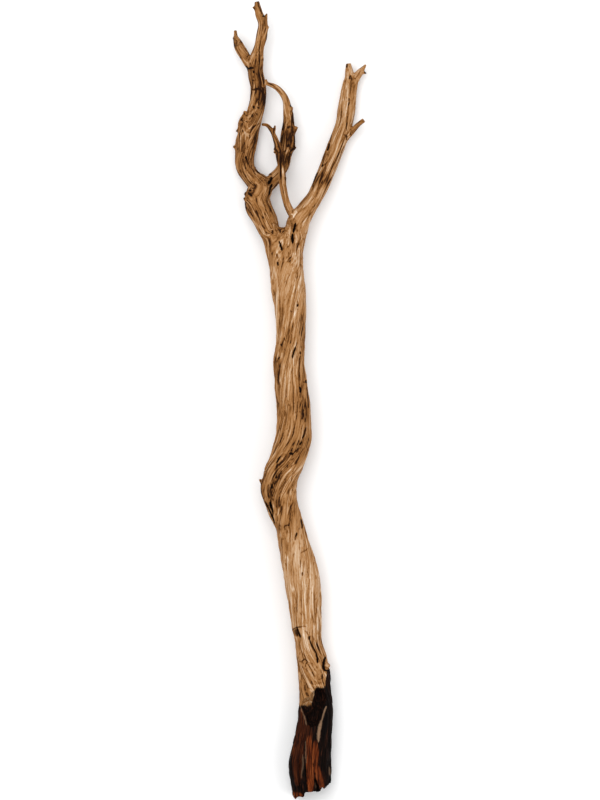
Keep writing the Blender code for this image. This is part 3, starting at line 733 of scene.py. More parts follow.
    (1.1, 0.8, 0.44, (-17.5, -212), (-18, -222), (-19, -232), (-19.6, -243), (-19.5, -255)),
    (1.2, 0.8, 0.46, (-25.5, -205), (-26, -214), (-26, -223)),
    (1.1, 1.4, 0.60, (2.5, -229.5), (5, -226.5), (9, -225), (12.5, -221.5)),
    (1.1, 0.8, 0.48, (3.5, -229), (4, -235), (2, -242), (1, -251)),
    (1.6, 0.5, 0.34, (9.5, -193), (9, -204), (7.7, -220)),
    (1.3, 0.7, 0.42, (18, -227), (18.6, -238), (18, -245)),
    (1.2, 0.8, 0.50, (23, -242), (22.6, -246)),
    (1.1, 0.8, 0.46, (8, -240), (7, -250), (6.3, -257)),
    (1.6, 2.5, 0.85, (5, -257), (5, -262)),
    (1.1, 0.6, 0.38, (4.6, -262), (4.3, -276), (4.6, -291)),
    (1.5, -0.6, -0.40, (-14, -226), (-13, -238), (-12, -247)),
    (1.6, -0.6, -0.42, (4.5, -244), (3, -256), (1.5, -268)),
    (1.6, -0.5, -0.35, (-3, -216), (-6, -234), (-7, -250)),
    (1.1, 0.6, 0.36, (12.5, -262), (10.5, -270), (8.3, -280), (8, -288)),
    (1.2, 0.8, 0.50, (16, -267), (16, -273)),
    (1.1, 0.7, 0.42, (15.5, -275), (13, -281), (12, -292), (12, -307)),
    (1.2, 0.8, 0.46, (25, -262), (26, -267.5)),
    (1.1, 0.6, 0.40, (26, -287), (24, -293), (22.7, -302), (22.5, -315)),
    (1.2, 1.0, 0.52, (26.5, -296), (24, -298.5)),
    (1.1, 0.8, 0.46, (-8.5, -289), (-7, -296), (-5.5, -299), (-4, -306), (-3, -311), (-1.5, -318)),
    (1.1, 0.5, 0.34, (1.5, -284), (1.5, -292), (3, -300), (3.2, -311)),
    (1.3, 1.2, 0.58, (1.6, -317.5), (3.2, -320.5)),
    (1.2, 1.0, 0.52, (4.8, -315.5), (6.8, -320.5)),
    (1.1, 0.7, 0.44, (16, -302), (16.6, -310), (18, -318), (20, -325), (22.7, -333)),
    (1.1, 0.6, 0.38, (26.5, -311), (27, -319)),
    (1.2, 0.8, 0.48, (10, -328), (11.8, -335)),
    (1.4, 0.8, 0.52, (30.8, -328), (31.6, -336), (32, -343), (31, -352), (31, -359)),
    (1.2, 0.8, 0.48, (28.3, -345), (29.2, -351)),
    # the crack across the trunk, the punky hole under it and the block beside it
    (1.1, 3.0, 0.95, (-12, -346), (-7, -342), (-3, -340), (1, -339), (3.5, -339)),
    (1.2, 1.6, 0.68, (3, -339.2), (6.5, -337.8), (10.5, -339)),
    (4.6, 5.0, 0.90, (-5.3, -343.5), (-4.3, -348), (-2.5, -351.5)),
    (1.7, 6.0, 1.0, (-2.2, -341), (-0.6, -347), (2.2, -355)),
    (2.4, -0.6, -0.42, (2.3, -341.5), (3.6, -347), (7, -354)),
    (1.3, 1.4, 0.60, (8.5, -344.5), (12, -348), (14.3, -352)),
    # the long fissure, the diamond knot and the broken stub, with the shadow under the stub's knob painted
    # in
    (1.7, 4.0, 1.0, (15, -353), (15, -358)),
    (1.6, 4.0, 0.85, (15, -357), (17, -362), (18.5, -366), (21, -371), (24, -376), (26, -381), (27.3, -392)),
    (1.6, 3.0, 0.98, (27, -388), (27.6, -393)),
    (1.2, 1.0, 0.52, (20, -352), (25, -362), (28.5, -369), (31, -374), (33, -379), (36, -385)),
    (1.4, 1.2, 0.60, (31.5, -382), (33, -389), (34, -395)),
    (1.6, 0.8, 0.68, (-3, -383), (-3, -392), (-1, -400), (0, -408)),
    (1.5, 0.8, 0.68, (-1, -411), (-1.5, -418), (0.5, -425)),
    (1.1, 1.6, 0.88, (9, -387.5), (7.5, -387.5), (4.5, -391)),
    (1.1, 1.4, 0.72, (8.5, -387), (12.7, -391.3)),
    (1.1, 1.4, 0.72, (4.3, -390.5), (7, -395)),
    (1.1, 1.4, 0.70, (12.8, -390.8), (10, -395), (10, -399)),
    (1.2, 1.0, 0.58, (0.5, -391), (4.5, -391.5)),
    (1.1, 0.8, 0.48, (1.5, -377), (1.5, -381)),
    (1.1, 0.7, 0.42, (4, -378), (10, -385)),
    (1.1, 0.6, 0.38, (8, -371), (12.5, -379)),
    (
        1.2, 1.0, 0.52, (14.5, -391), (18, -394), (20, -398), (23, -402),
        (26, -406), (27, -412), (29.5, -418), (34, -416),
    ),
    (1.3, 1.0, 0.56, (26, -397.5), (27, -401)),
    (1.2, 1.0, 0.52, (33, -403), (33.6, -408)),
    (1.4, 1.4, 0.80, (35, -410), (35.6, -417)),
    (1.2, 1.0, 0.52, (11, -401), (12, -406)),
    (1.2, 1.0, 0.52, (19, -406), (22, -411), (23.3, -414)),
    (1.1, 0.7, 0.42, (5, -398), (10, -404)),
    (1.2, 0.8, 0.52, (4, -406), (4, -414), (3, -420), (4, -428), (4.6, -435)),
    (1.2, 1.0, 0.54, (5, -411), (9, -421), (12.5, -427), (15, -431), (20, -432.5)),
    (1.1, 0.7, 0.44, (18, -420), (20, -425.5)),
    (1.1, 0.7, 0.44, (24, -421), (28, -423.5), (33.5, -422)),
    (1.3, 1.0, 0.58, (8, -426), (9, -435)),
    (2.2, 1.0, 0.58, (10.5, -438), (14, -443)),
    (1.5, -0.8, -0.50, (12, -402), (17, -408), (22, -416), (26, -420)),
    (1.5, -0.8, -0.50, (21, -397), (25, -404), (26.5, -410)),
    (1.4, -0.8, -0.45, (16, -425), (24, -427), (31, -426.5), (36, -428)),
    (1.6, -0.6, -0.45, (1.5, -360), (5, -374), (10, -381)),
    (1.8, -0.6, -0.45, (11, -356), (13, -366), (16, -376)),
    (2.6, 5.0, 1.0, (39.5, -385), (37.5, -390), (36.3, -396), (36.8, -402), (39, -405)),
    # painted shadow: the dark line under the stub's knob is its shadow, carved and painted as a stroke
    (1.3, 3.0, 1.0, (38, -404.5), (42, -405), (46, -404.5)),
    (2.4, -0.8, -0.45, (41.8, -396), (43, -399)),
    # the grey rib beside the hollow, the hollow's rim, and cracks between the splinters of the base
    (1.6, -1.6, -0.85, (40.5, -458), (36.5, -471), (32.6, -483)),
    (2.8, -2.4, -1.0, (33, -479), (31, -490), (29.6, -500), (29, -511)),
    (0.9, 1.0, 0.80, (29, -488.3), (34.5, -487)),
    (1.3, -1.0, -0.45, (1.5, -458), (5, -467), (8, -475), (11, -486)),
    (1.0, -0.5, -0.40, (9.5, -510), (10, -525), (10.6, -543)),
    (1.4, -0.5, -0.30, (5, -530), (6, -545), (4, -556), (3, -566)),
    (1.2, -0.5, -0.40, (45.5, -550), (45.8, -563)),
    (1.0, -0.4, -0.30, (24, -571), (25.5, -581)),
    (1.3, 3.0, 0.90, (20.8, -543.5), (22, -549)),
    (1.3, 3.0, 0.85, (23.3, -557.5), (24.5, -561)),
    (2.4, 6.0, 1.0, (23.5, -566), (26, -574), (29, -587)),
    (1.3, 2.5, 0.60, (9, -548), (11, -565), (12, -588)),
    (1.5, 3.0, 0.70, (1, -536), (1, -560), (0, -580)),
    (1.1, 1.6, 0.50, (16.6, -540), (18, -541)),
    (4.0, 3.0, 0.85, (2, -577), (5, -590)),
    # the left limb: holes and knots, and the shade where the arched branch passes under it, painted as slots
    # painted shade: these two dark slots run along the left limb's edge where the arched branch passes
    # beneath it
    (2.7, 5.0, 1.0, (-41, 334.5), (-43, 330), (-45.5, 324.5)),
    (2.2, 5.0, 0.98, (-40.5, 324), (-43, 318), (-43.5, 313), (-44.5, 308)),
    (1.5, 1.5, 0.80, (-51, 338.5), (-44, 339.5), (-41.5, 337.5)),
    (1.7, 3.0, 0.92, (-74.5, 315), (-72, 313.3)),
    (2.0, 3.0, 0.88, (-75.5, 310.5), (-72.5, 307.5), (-70.5, 305.5)),
    (1.3, 1.2, 0.80, (-83.5, 311), (-79.5, 313)),
    (1.4, 0.8, 0.62, (-83, 309), (-82, 300), (-81, 291)),
    (1.3, 1.0, 0.60, (-68.5, 315), (-66, 311)),
    (1.8, 3.0, 0.88, (-80, 365.5), (-78.5, 361)),
    (2.0, 1.5, 0.52, (-78.5, 360), (-77, 354.5)),
    (1.9, 3.0, 0.90, (-68.3, 441), (-67.8, 437.5)),
    (1.3, 1.2, 0.58, (-69.5, 436.5), (-73, 432)),
    (1.4, 1.5, 0.72, (-62.2, 439.5), (-59.5, 437.5)),
    (1.9, 1.5, 0.66, (-70, 428), (-70.5, 424.5)),
    (1.3, 1.2, 0.56, (-64.3, 430), (-62, 427.5)),
    (1.5, 1.5, 0.96, (-88, 420), (-85.3, 423.5)),
    (1.4, 1.0, 0.90, (-93.5, 405.5), (-92.5, 402.5)),
    (1.6, 1.0, 0.54, (-84.5, 421), (-86, 413), (-87, 406)),
    (1.3, 1.0, 0.60, (-82.3, 432), (-80, 427), (-77.5, 428)),
    (1.5, 1.2, 0.85, (-99, 383), (-97, 380)),
    (2.0, 2.5, 0.95, (-80, 500.5), (-76, 497.5), (-72, 498), (-68, 498)),
    (1.5, 1.2, 0.95, (-77, 498), (-77.6, 493.5)),
    (1.4, 1.8, 0.90, (-69, 494), (-67.5, 490.5)),
    (1.3, 1.2, 0.72, (-73.8, 506), (-73, 502.5)),
    (1.4, 1.2, 0.62, (-70.5, 480), (-67.5, 479)),
    (2.0, 1.2, 0.80, (-70, 465.5), (-65, 466), (-61, 467), (-57, 464.5)),
    (2.6, 1.0, 0.80, (-56, 464), (-53, 459), (-52, 451), (-53, 443)),
    (1.3, 1.5, 0.80, (-58.7, 463), (-59.6, 455), (-60, 449)),
    (1.3, 1.2, 0.72, (-60.7, 448.5), (-60.3, 442)),
    # the left limb: grain
    (1.4, 1.0, 0.58, (-50, 557), (-52, 551), (-55, 544), (-57, 538), (-59, 528)),
    (1.2, 1.4, 0.82, (-58.8, 531), (-60, 518), (-59.5, 510), (-60, 500)),
    (1.1, 1.0, 0.62, (-60, 502), (-60.5, 495), (-59.5, 489), (-59, 483)),
    (1.1, 0.6, 0.42, (-58, 484), (-58.5, 474)),
    (1.3, 0.8, 0.56, (-61.5, 570), (-62, 560), (-64, 548), (-66, 538), (-68, 528), (-69, 520)),
    (1.2, 0.8, 0.46, (-52, 570), (-53.5, 560), (-55.5, 552)),
    (1.3, 0.8, 0.72, (-67, 582), (-68.8, 588.5)),
    (1.3, 0.8, 0.56, (-60.5, 592), (-58, 585), (-55.5, 577)),
    (1.4, 1.5, 0.95, (-55, 574.3), (-51.5, 576)),
    (1.5, 0.8, 0.80, (-98.5, 545), (-98, 536), (-95, 526)),
    (1.2, 0.8, 0.50, (-95.5, 538), (-91, 528), (-86, 517), (-81, 511), (-78, 507)),
    (1.3, 0.8, 0.66, (-92.3, 551), (-88, 541), (-84, 532), (-78, 522)),
    (1.4, 1.0, 0.92, (-89.5, 514.5), (-87.5, 512.5)),
    (1.3, 0.8, 0.58, (-54.8, 493), (-54, 486), (-53, 475), (-54, 468)),
    (1.2, 0.6, 0.50, (-72, 463), (-73, 452), (-75, 440), (-77, 430)),
    (1.5, -0.6, -0.45, (-62.5, 437.5), (-67, 433.5), (-73, 429), (-78, 422), (-82, 414), (-86, 406)),
    (1.9, -1.2, -0.75, (-65, 416), (-71, 410), (-77, 405), (-83, 400), (-87, 395), (-89, 388), (-90, 380)),
    (
        1.5, 1.4, 0.64, (-58.5, 416.5), (-63, 413), (-67, 411), (-70, 408),
        (-73, 402), (-74, 396), (-75.5, 390),
    ),
    (1.2, 1.0, 0.54, (-75.5, 391), (-77, 385), (-77.6, 376)),
    (1.3, 1.4, 0.86, (-74, 398.5), (-74.2, 393)),
    (1.4, 0.8, 0.54, (-62.5, 406), (-65, 397), (-67, 388), (-69, 378), (-70, 366)),
    (1.3, 1.0, 0.56, (-84, 362.5), (-83, 357), (-81, 351)),
    (1.1, 0.9, 0.52, (-81.5, 352), (-78, 345), (-74, 340), (-70, 335), (-68, 333)),
    (1.1, 0.9, 0.52, (-75.5, 354), (-72, 348), (-68, 344), (-66, 343)),
    (1.3, 0.8, 0.56, (-69, 347.5), (-62, 342), (-57, 338.5)),
    (1.4, -0.6, -0.50, (-85.5, 353), (-80, 343.5), (-76, 338.5), (-71, 334)),
    (1.3, 0.8, 0.50, (-88.5, 346), (-86, 341)),
    (1.3, 0.8, 0.54, (-81.5, 338), (-79.5, 335)),
    (1.1, 0.6, 0.42, (-57.5, 334), (-61.5, 328)),
    (1.1, 0.6, 0.38, (-54.5, 330.5), (-60.5, 324.5)),
    (1.1, 0.6, 0.38, (-66, 330), (-67, 324), (-66, 317)),
    (1.4, -0.8, -0.55, (-70.5, 325.5), (-74, 320), (-76.5, 315.5)),
    (1.2, 0.9, 0.52, (-79, 303), (-75, 296), (-70, 292), (-67, 289.5)),
    (1.4, 1.0, 0.62, (-80.5, 290), (-76, 284), (-72, 278), (-69.5, 275)),
    (
        1.2, 1.2, 0.62, (-67, 289.5), (-64, 283), (-61, 276), (-59, 270),
        (-57.5, 264), (-53, 259), (-50, 255.5),
    ),
    (1.8, -0.8, -0.55, (-70, 270), (-65, 265), (-60, 260), (-55.5, 254), (-52, 247)),
    (1.1, 0.8, 0.46, (-64.5, 303.5), (-62.3, 296.5)),
    (1.1, 0.8, 0.44, (-54, 312), (-55, 303), (-53, 296), (-51, 290), (-50.5, 282), (-51, 275)),
    (1.2, 0.6, 0.42, (-45.3, 312), (-46, 303)),
    (1.1, 0.6, 0.36, (-43, 291), (-44, 281), (-42, 273)),
    (1.1, 0.6, 0.36, (-70, 300), (-68, 296), (-64.5, 290)),
    # the right limb
    (2.0, 1.5, 0.92, (72.3, 507), (72, 500)),
    (1.5, 1.0, 0.62, (72, 500), (71.3, 493)),
    (1.5, 2.5, 0.82, (76.6, 487.5), (76, 483)),
    (1.2, 0.9, 0.52, (79, 485), (78, 475), (77.5, 466), (76, 456)),
    (1.3, 2.0, 0.90, (75.1, 453.5), (75, 450.5)),
    (1.2, 1.5, 0.88, (75.1, 448), (74.9, 444.5)),
    (1.2, 1.2, 0.68, (75, 446), (74, 435), (73, 428), (72, 421), (71.5, 412), (71, 404)),
    (1.2, 0.8, 0.46, (69, 470), (69.5, 465), (69, 459), (68, 451)),
    (
        1.1, 0.8, 0.46, (65, 463), (65, 455), (63.5, 440), (62.5, 426),
        (60, 408), (57, 398), (54, 388), (51.5, 380),
    ),
    (1.2, 1.0, 0.60, (63, 436), (62.5, 424)),
    (1.1, 0.8, 0.50, (51.5, 380), (49, 373), (47, 366), (43, 358), (39, 354.5)),
    (1.3, 0.6, 0.42, (88, 481), (86.5, 474), (85, 467), (84, 459)),
    (1.2, 0.6, 0.38, (83, 457), (80, 449), (79, 440)),
    (1.2, 0.6, 0.48, (58.2, 432), (57.4, 426)),
    (1.9, -0.8, -0.55, (73.3, 493), (72.6, 480), (73, 465), (73, 445)),
    (1.4, -0.6, -0.40, (69, 446), (67.5, 430), (66, 415)),
    (2.0, -0.8, -0.45, (61.5, 402), (58, 386), (55, 374)),
    (1.3, 1.0, 0.86, (97, 503), (94.5, 501.3), (91.5, 499)),
    (1.4, 1.5, 1.0, (97.8, 497), (99, 493.5), (100.4, 491)),
    (1.1, 0.7, 0.46, (92.5, 495.5), (88, 488), (83, 482)),
    (1.2, 0.8, 0.60, (87.5, 496.8), (84.5, 496)),
    (1.3, -0.6, -0.42, (98, 504), (92, 497.5), (87, 492)),
    (1.3, 1.0, 0.78, (91, 419.5), (86, 416), (82, 413)),
    (1.5, 2.5, 0.88, (71.8, 397), (70.8, 391)),
    (1.1, 0.8, 0.48, (75.5, 404), (71, 398.5), (65.5, 398.5)),
    (1.1, 0.8, 0.46, (69.3, 397), (66, 387), (64, 380), (62, 372)),
    (1.3, 1.0, 0.62, (63, 373), (58, 367), (56, 363)),
    (1.1, 0.8, 0.46, (56, 364), (53, 358), (50, 352), (47, 345), (44.6, 337)),
    (1.8, 4.0, 0.98, (45, 386), (44, 380), (41.7, 374.5)),
    (1.5, 1.5, 0.68, (48.3, 401), (47, 394), (46.3, 387)),
    (1.3, 1.2, 0.60, (40.5, 373), (38, 366), (36, 360), (35, 354)),
    (1.7, 3.0, 0.98, (35.6, 354), (34.4, 350.5)),
    (1.2, 1.2, 0.66, (40, 355.5), (36.5, 352)),
    (1.2, 1.0, 0.78, (36.5, 370), (35, 366.5)),
    (1.1, 0.8, 0.48, (41.5, 370), (44.5, 365.5)),
    (1.1, 0.8, 0.48, (39.6, 351), (39, 343)),
    (1.3, 0.9, 0.52, (36, 349), (34.5, 342), (33.5, 335), (31.5, 328), (29.5, 322), (26.5, 311)),
    (1.6, 1.2, 0.88, (28, 342), (24, 336), (21, 331), (19, 326), (16.5, 321.5)),
    (1.5, 1.0, 0.72, (20.5, 323), (20, 319.5)),
    (1.4, 0.8, 0.72, (48.5, 334), (45, 328), (42, 322), (40, 317), (37, 310), (34, 303)),
    (1.1, 0.6, 0.38, (22.5, 313), (20, 305)),
    (1.1, 0.6, 0.38, (27.5, 311), (25, 304)),
    (1.1, 0.7, 0.46, (17.3, 283.7), (13.3, 270.7), (10.8, 260.7)),
    (1.1, 0.7, 0.46, (24.3, 294.7), (19.3, 276.7), (15.8, 258.7)),
    (1.4, -0.6, -0.42, (22, 288), (17.5, 273), (13, 256)),
    # the arched branch
    (2.0, 1.2, 0.70, (-23.5, 416), (-24.8, 405)),
    (1.6, 1.0, 0.56, (-25.5, 398), (-27.5, 386)),
    (2.2, 1.5, 0.76, (-17, 408.5), (-13.5, 411)),
    (1.4, 1.2, 0.60, (-19.5, 392.5), (-17, 389.5)),
    (1.5, 1.5, 0.92, (-15.5, 384), (-17.3, 379.5)),
    (1.7, 1.5, 0.94, (-8.2, 384), (-6.3, 379), (-9, 376.8), (-13, 373)),
    (1.4, 1.0, 0.90, (-13.2, 372.5), (-14.2, 364), (-15.8, 354)),
    (1.4, 1.2, 0.72, (-20, 374), (-23.5, 372.8)),
    (1.9, -1.0, -0.70, (-13.5, 375), (-17, 373), (-20.5, 369.5)),
    (1.6, 1.0, 0.74, (-9, 430), (-9.6, 421), (-8.4, 414)),
    (1.4, 1.0, 1.0, (-13.2, 443.5), (-13.2, 440)),
    (1.3, 1.0, 0.72, (-12, 435), (-12.7, 431)),
    (1.2, 0.8, 0.52, (-12, 402), (-13.5, 394), (-12, 386)),
    (1.2, 0.8, 0.60, (-18.5, 457), (-17, 446), (-16.3, 440)),
    (1.4, -0.5, -0.45, (-26, 458), (-22.5, 449), (-21.5, 436), (-20, 428)),
    (1.2, 0.8, 0.66, (-48, 475.5), (-41, 473), (-35, 468), (-29, 462.5), (-25, 458)),
    (1.1, -0.5, -0.55, (-44, 477), (-37, 474.5), (-30, 468), (-25, 462)),
    (1.2, 0.6, 0.50, (-20.5, 358), (-22, 350), (-24, 344)),
]

# The same for the twig, which lies over the arched branch.
TWIG_STROKES = [
    (1.1, 2.5, 0.88, (-27.3, 364), (-27.3, 352), (-28, 342), (-28, 329.5)),
    (1.0, -0.6, -0.60, (-26, 356), (-25.4, 345), (-24.8, 336)),
    (1.2, 0.8, 0.56, (-31.3, 331), (-30.3, 318), (-28, 308), (-25, 298), (-22, 291), (-19.5, 285)),
    (1.1, 0.6, 0.42, (-24, 324), (-22, 318), (-20, 310)),
    (1.3, 1.0, 0.80, (-21.7, 334), (-21, 329)),
    (1.2, 0.8, 0.62, (-17.5, 281), (-16, 271)),
    (1.3, 1.0, 0.88, (-37.8, 371), (-35.3, 370.8)),
    (1.3, 1.2, 0.66, (-34.3, 375), (-32.6, 371)),
    (1.4, 1.2, 0.66, (-29.5, 369.5), (-27.5, 372.5)),
    (1.6, 1.5, 0.86, (-28.3, 365), (-26.3, 360)),
    (1.2, 0.8, 0.80, (-33, 366.5), (-33.6, 361)),
    (1.2, 0.8, 0.92, (-37.7, 412), (-37.2, 409)),
    (1.1, 0.8, 0.62, (-41.8, 407.5), (-39, 408.7)),
    (1.2, 0.8, 0.72, (-58, 413.3), (-54, 413.8)),
    (1.1, 0.5, 0.50, (-47, 409), (-43.5, 403), (-40, 393), (-36, 382)),
    (1.2, -0.4, -0.35, (-38.6, 400), (-35.5, 389), (-32.3, 380)),
]

# Weather stains (negative is a paler, well sanded patch), and one patch of painted shade, in millimetres:
# the place x, y, how far it reaches across and along, and how much darker the wood is there.
STAINS = [
    (-53, 455, 6, 16, 0.30),
    (-64, 466, 10, 4, 0.18),
    (-70, 488, 8, 10, 0.10),
    (-75, 498, 7, 5, 0.20),
    (-88, 416, 5, 10, 0.10),
    (-82, 362, 8, 16, 0.10),
    (-68, 398, 5, 24, 0.10),
    (31, 332, 17, 10, 0.50),
    (42, 326, 7, 12, 0.18),
    (22, 328, 6, 8, 0.16),
    (44, 378, 5, 16, 0.14),
    (-17, 394, 11, 18, 0.48),
    (-10, 424, 4, 10, 0.22),
    (-19, 362, 7, 10, 0.26),
    (-27, 364, 5, 9, 0.16),
    # painted shade: darker where the arched branch passes under the left limb
    (-44, 330, 6, 10, 0.16),
    (-74, 311, 7, 6, 0.14),
    (-8, 258, 5, 9, 0.22),
    (-24, 218, 4, 12, 0.16),
    (-25, 253, 6, 4, 0.16),
    (-12, 262, 4, 5, 0.16),
    (-25, 83, 5, 8, 0.26),
    (-33, 50, 5, 22, 0.26),
    (5, 100, 5, 30, 0.14),
    (2, 22, 6, 14, 0.14),
    (9, -25, 5, 16, 0.18),
    (14, 0, 4, 30, 0.12),
    (-12, -78, 8, 6, 0.14),
    (-24, -95, 8, 11, 0.12),
    (-34, -112, 6, 18, 0.10),
    (-45, -138, 7, 15, 0.14),
    (-54, -134, 4, 12, 0.12),
    (-34, -154, 6, 8, 0.16),
    (-26, -188, 10, 10, 0.12),
    (-28, -215, 4, 40, 0.10),
    (-3, -222, 8, 30, -0.08),
    (2, -290, 14, 40, -0.05),
    (-33, 130, 3, 50, -0.04),
    (7, -325, 4, 12, 0.12),
    (-3, -366, 4, 12, 0.14),
    (22, -372, 6, 14, 0.10),
    (3, -384, 5, 6, 0.12),
    (7, -436, 9, 12, 0.22),
    (33, -420, 5, 6, 0.10),
]

# How pale each limb is on the whole, from 0, rust brown, to 1, bleached. The trunk's goes by y, in metres.
PALENESS = {
    "left_limb": 0.37,
    "left_prong": 0.38,
    "left_tip_snag": 0.38,
    "left_flap": 0.37,
    "shoulder_stub": 0.40,
    "right_limb": 0.58,
    "right_tip_prong": 0.52,
    "right_stub": 0.46,
    "arched_branch": 0.46,
    "thin_twig": 0.40,
    "twig_prong": 0.40,
    "loose_strand": 0.38,
    "trunk_stub": 0.42,
}
SNAG_PALENESS = 0.42
TRUNK_PALENESS = [
    (-0.60, 0.50), (-0.46, 0.50), (-0.42, 0.54), (-0.36, 0.60), (-0.28, 0.64), (-0.21, 0.60), (-0.17, 0.46),
    (-0.06, 0.46), (0.0, 0.50), (0.06, 0.54), (0.12, 0.58), (0.20, 0.60), (0.24, 0.52), (0.26, 0.50),
]

# Where sound wood ends and the rotten base begins: the angle round the trunk in degrees, from its
# right side over the top, then y, in metres.
ROT_LINE = [
    (-180, -0.459), (-135, -0.445), (-90, -0.450), (-45, -0.412), (0, -0.401), (28, -0.405), (38, -0.412),
    (46, -0.428), (60, -0.430), (75, -0.430), (92, -0.435), (105, -0.443), (120, -0.451), (140, -0.457),
    (180, -0.459),
]
# Places along the branch, y in metres. Below the first the base's snags are rotten too, below the
# second the walls of the hollows and the broken end are painted near black as shade, and below the
# third the twig takes the other limbs' strokes too.
NO_SOUND_WOOD = -0.41
HOLLOWS_END = -0.36
TWIG_ROOT_END = 0.29

# Where heartwood shows in the rotten base, in millimetres: half width, strength, then the points (x, y).
HEARTWOOD = [
    (6.2, 1.0, (15.3, -503), (15.5, -530), (16.8, -560), (17.5, -592)),
    (5.0, 0.9, (24, -511), (25, -530), (25, -548)),
    (5.6, 0.9, (24, -545), (29, -560), (33.5, -575), (35, -584)),
    (8.0, 0.9, (-11, -594), (-5, -595), (2, -594)),
    (9.0, 0.32, (3, -464), (1, -495), (-2, -530), (-3, -575)),
    (7.0, 0.20, (12, -488), (14, -500), (15, -515)),
]


def stroke_weight(spots, line, half_width):
    """1 along the middle of the stroke, falling to 0 at its edges, and narrowing to its two ends."""
    line = smoothed(line, 6)
    steps = np.linalg.norm(np.diff(line, axis=0), axis=1)
    reached = np.concatenate([[0], np.cumsum(steps)]) / steps.sum()
    best = np.full(len(spots), np.inf)
    for a, b, start, end in zip(line[:-1], line[1:], reached[:-1], reached[1:]):
        t = np.clip(((spots - a) @ (b - a)) / ((b - a) @ (b - a)), 0, 1)
        away = np.linalg.norm(spots - a - t[:, None] * (b - a), axis=1)
        middle = 2 * (start + (end - start) * t) - 1
        best = np.minimum(best, away / (half_width * np.sqrt(1.08 - np.abs(middle) ** 3)))
    return np.clip(1 - best**2, 0, 1)


def scattered_slots(log, count):
    """Small slots and pinholes all over the wood, along its grain, as a weight for each point."""
    weight = np.zeros(len(log))
    for index in random.integers(0, len(log), count):
        width = random.uniform(0.0008, 0.0019)
        length = width * random.uniform(1.6, 5.0)
        gap = (log - log[index]) / [width, width, length]
        near = np.abs(gap[:, 2]) < 1
        weight[near] = np.maximum(weight[near], 1 - (gap[near] ** 2).sum(axis=1))
    return np.clip(weight, 0, 1)


# ---------------------------------------------------------------- the skin


def fused_skin(limbs):
    """All the limbs in one closed skin, with the trunk's hollows cut and its end broken off."""
    blanks = [blank_limb(limb) for limb in limbs]
    wood = blanks[0]
    cut_break(wood)
    for centre, half_sizes, turn in HOLLOWS:
        cut_hollow(wood, centre, half_sizes, turn)
    bpy.ops.object.select_all(action="DESELECT")
    for blank in blanks:
        blank.select_set(True)
    bpy.context.view_layer.objects.active = wood
    bpy.ops.object.join()
    apply_modifier(wood, "REMESH", mode="VOXEL", voxel_size=SKIN_VOXEL)
    return wood


def softened(places, ends, amount, rounds):
    """The places smoothed along the mesh's edges, each by its own amount."""
    count = np.bincount(ends.ravel(), minlength=len(places))
    for _ in range(rounds):
        mean = np.empty_like(places)
        for axis in range(3):
            column = places[:, axis]
            mean[:, axis] = np.bincount(ends[:, 0], column[ends[:, 1]], len(places))
            mean[:, axis] += np.bincount(ends[:, 1], column[ends[:, 0]], len(places))
        places = places + amount[:, None] * (mean / count[:, None] - places)
    return places


def straightened(places, limbs, measured, outside):
    """Each point's place in the straight log, how thick its limb is there, and which limb owns it."""
    # the trunk's grain carries on until a limb stands clear of it
    clear = outside + TRUNK_OVERLAP * (np.arange(len(limbs)) > 0)
    owner = clear.argmin(axis=1)
    apart = clear - clear.min(axis=1)[:, None]
    weights = np.exp(-((apart / GRAIN_BLEND) ** 2))
    log = np.zeros_like(places)
    radius = np.zeros(len(places))
    slant = ramp(places[:, 1], SLANT_START, SLANT_END) * ramp(places[:, 0], -0.090, 0.040)
    slant *= SLANT * (places[:, 1] - SLANT_START)
    for k, limb in enumerate(limbs):
        sideways, up, at, _ = measured[k]
        if k == 0:
            sideways = sideways - slant
        log += weights[:, k : k + 1] * limb.in_log(sideways, up, at)
        radius += weights[:, k] * limb.read(at, limb.half).mean(axis=1)
    log /= weights.sum(axis=1)[:, None]
    radius /= weights.sum(axis=1)
    return log, radius, owner


def rottenness(log, y, sideways, up, on_trunk):
    """1 in the rotten base, 0 in sound wood, and a ragged line between them."""
    angle = np.degrees(np.arctan2(up, sideways))
    ragged = 0.0015 + 0.0045 * ramp(np.abs(angle - 80), 60, 110)
    line = np.interp(angle, *zip(*ROT_LINE)) + ragged * noise(log / [0.004, 0.004, 0.03], 11)
    return ramp(line - y, -0.0015, 0.0015) * (on_trunk | (y < NO_SOUND_WOOD))


def carve_strokes(carved, spots, on_top, on_twig, at_twig_root, shade, pale):
    """Carves the strokes, and raises shade or pale to each one's own darkness."""
    for twig_too, table in ((False, STROKES), (True, TWIG_STROKES)):
        reachable = (on_top > 0) & ((on_twig == twig_too) | at_twig_root)
        for half_width, depth, darkness, *line in table:
            line = MILLIMETRE * np.array(line)
            half_width *= MILLIMETRE
            low = line.min(axis=0) - 2 * half_width
            high = line.max(axis=0) + 2 * half_width
            near = np.flatnonzero(((spots > low) & (spots < high)).all(axis=1) & reachable)
            if not len(near):
                continue
            weight = stroke_weight(spots[near], line, half_width) * on_top[near]
            carved[near, 2] -= MILLIMETRE * depth * weight
            mark = shade if darkness > 0 else pale
            mark[near] = np.maximum(mark[near], abs(darkness) * weight**0.6)


def limb_paleness(y, limbs, outside, owner):
    """Each point's own limb's paleness, blended where limbs meet."""
    share = np.exp(-((np.maximum(outside, 0) / COLOUR_BLEND) ** 2))
    share[np.arange(len(y)), owner] += 1e-6
    tone = np.zeros(len(y))
    for k, limb in enumerate(limbs):
        level = PALENESS.get(limb.name, SNAG_PALENESS)
        if k == 0:
            level = np.interp(y, *zip(*TRUNK_PALENESS))
        tone += share[:, k] * level
    return tone / share.sum(axis=1)


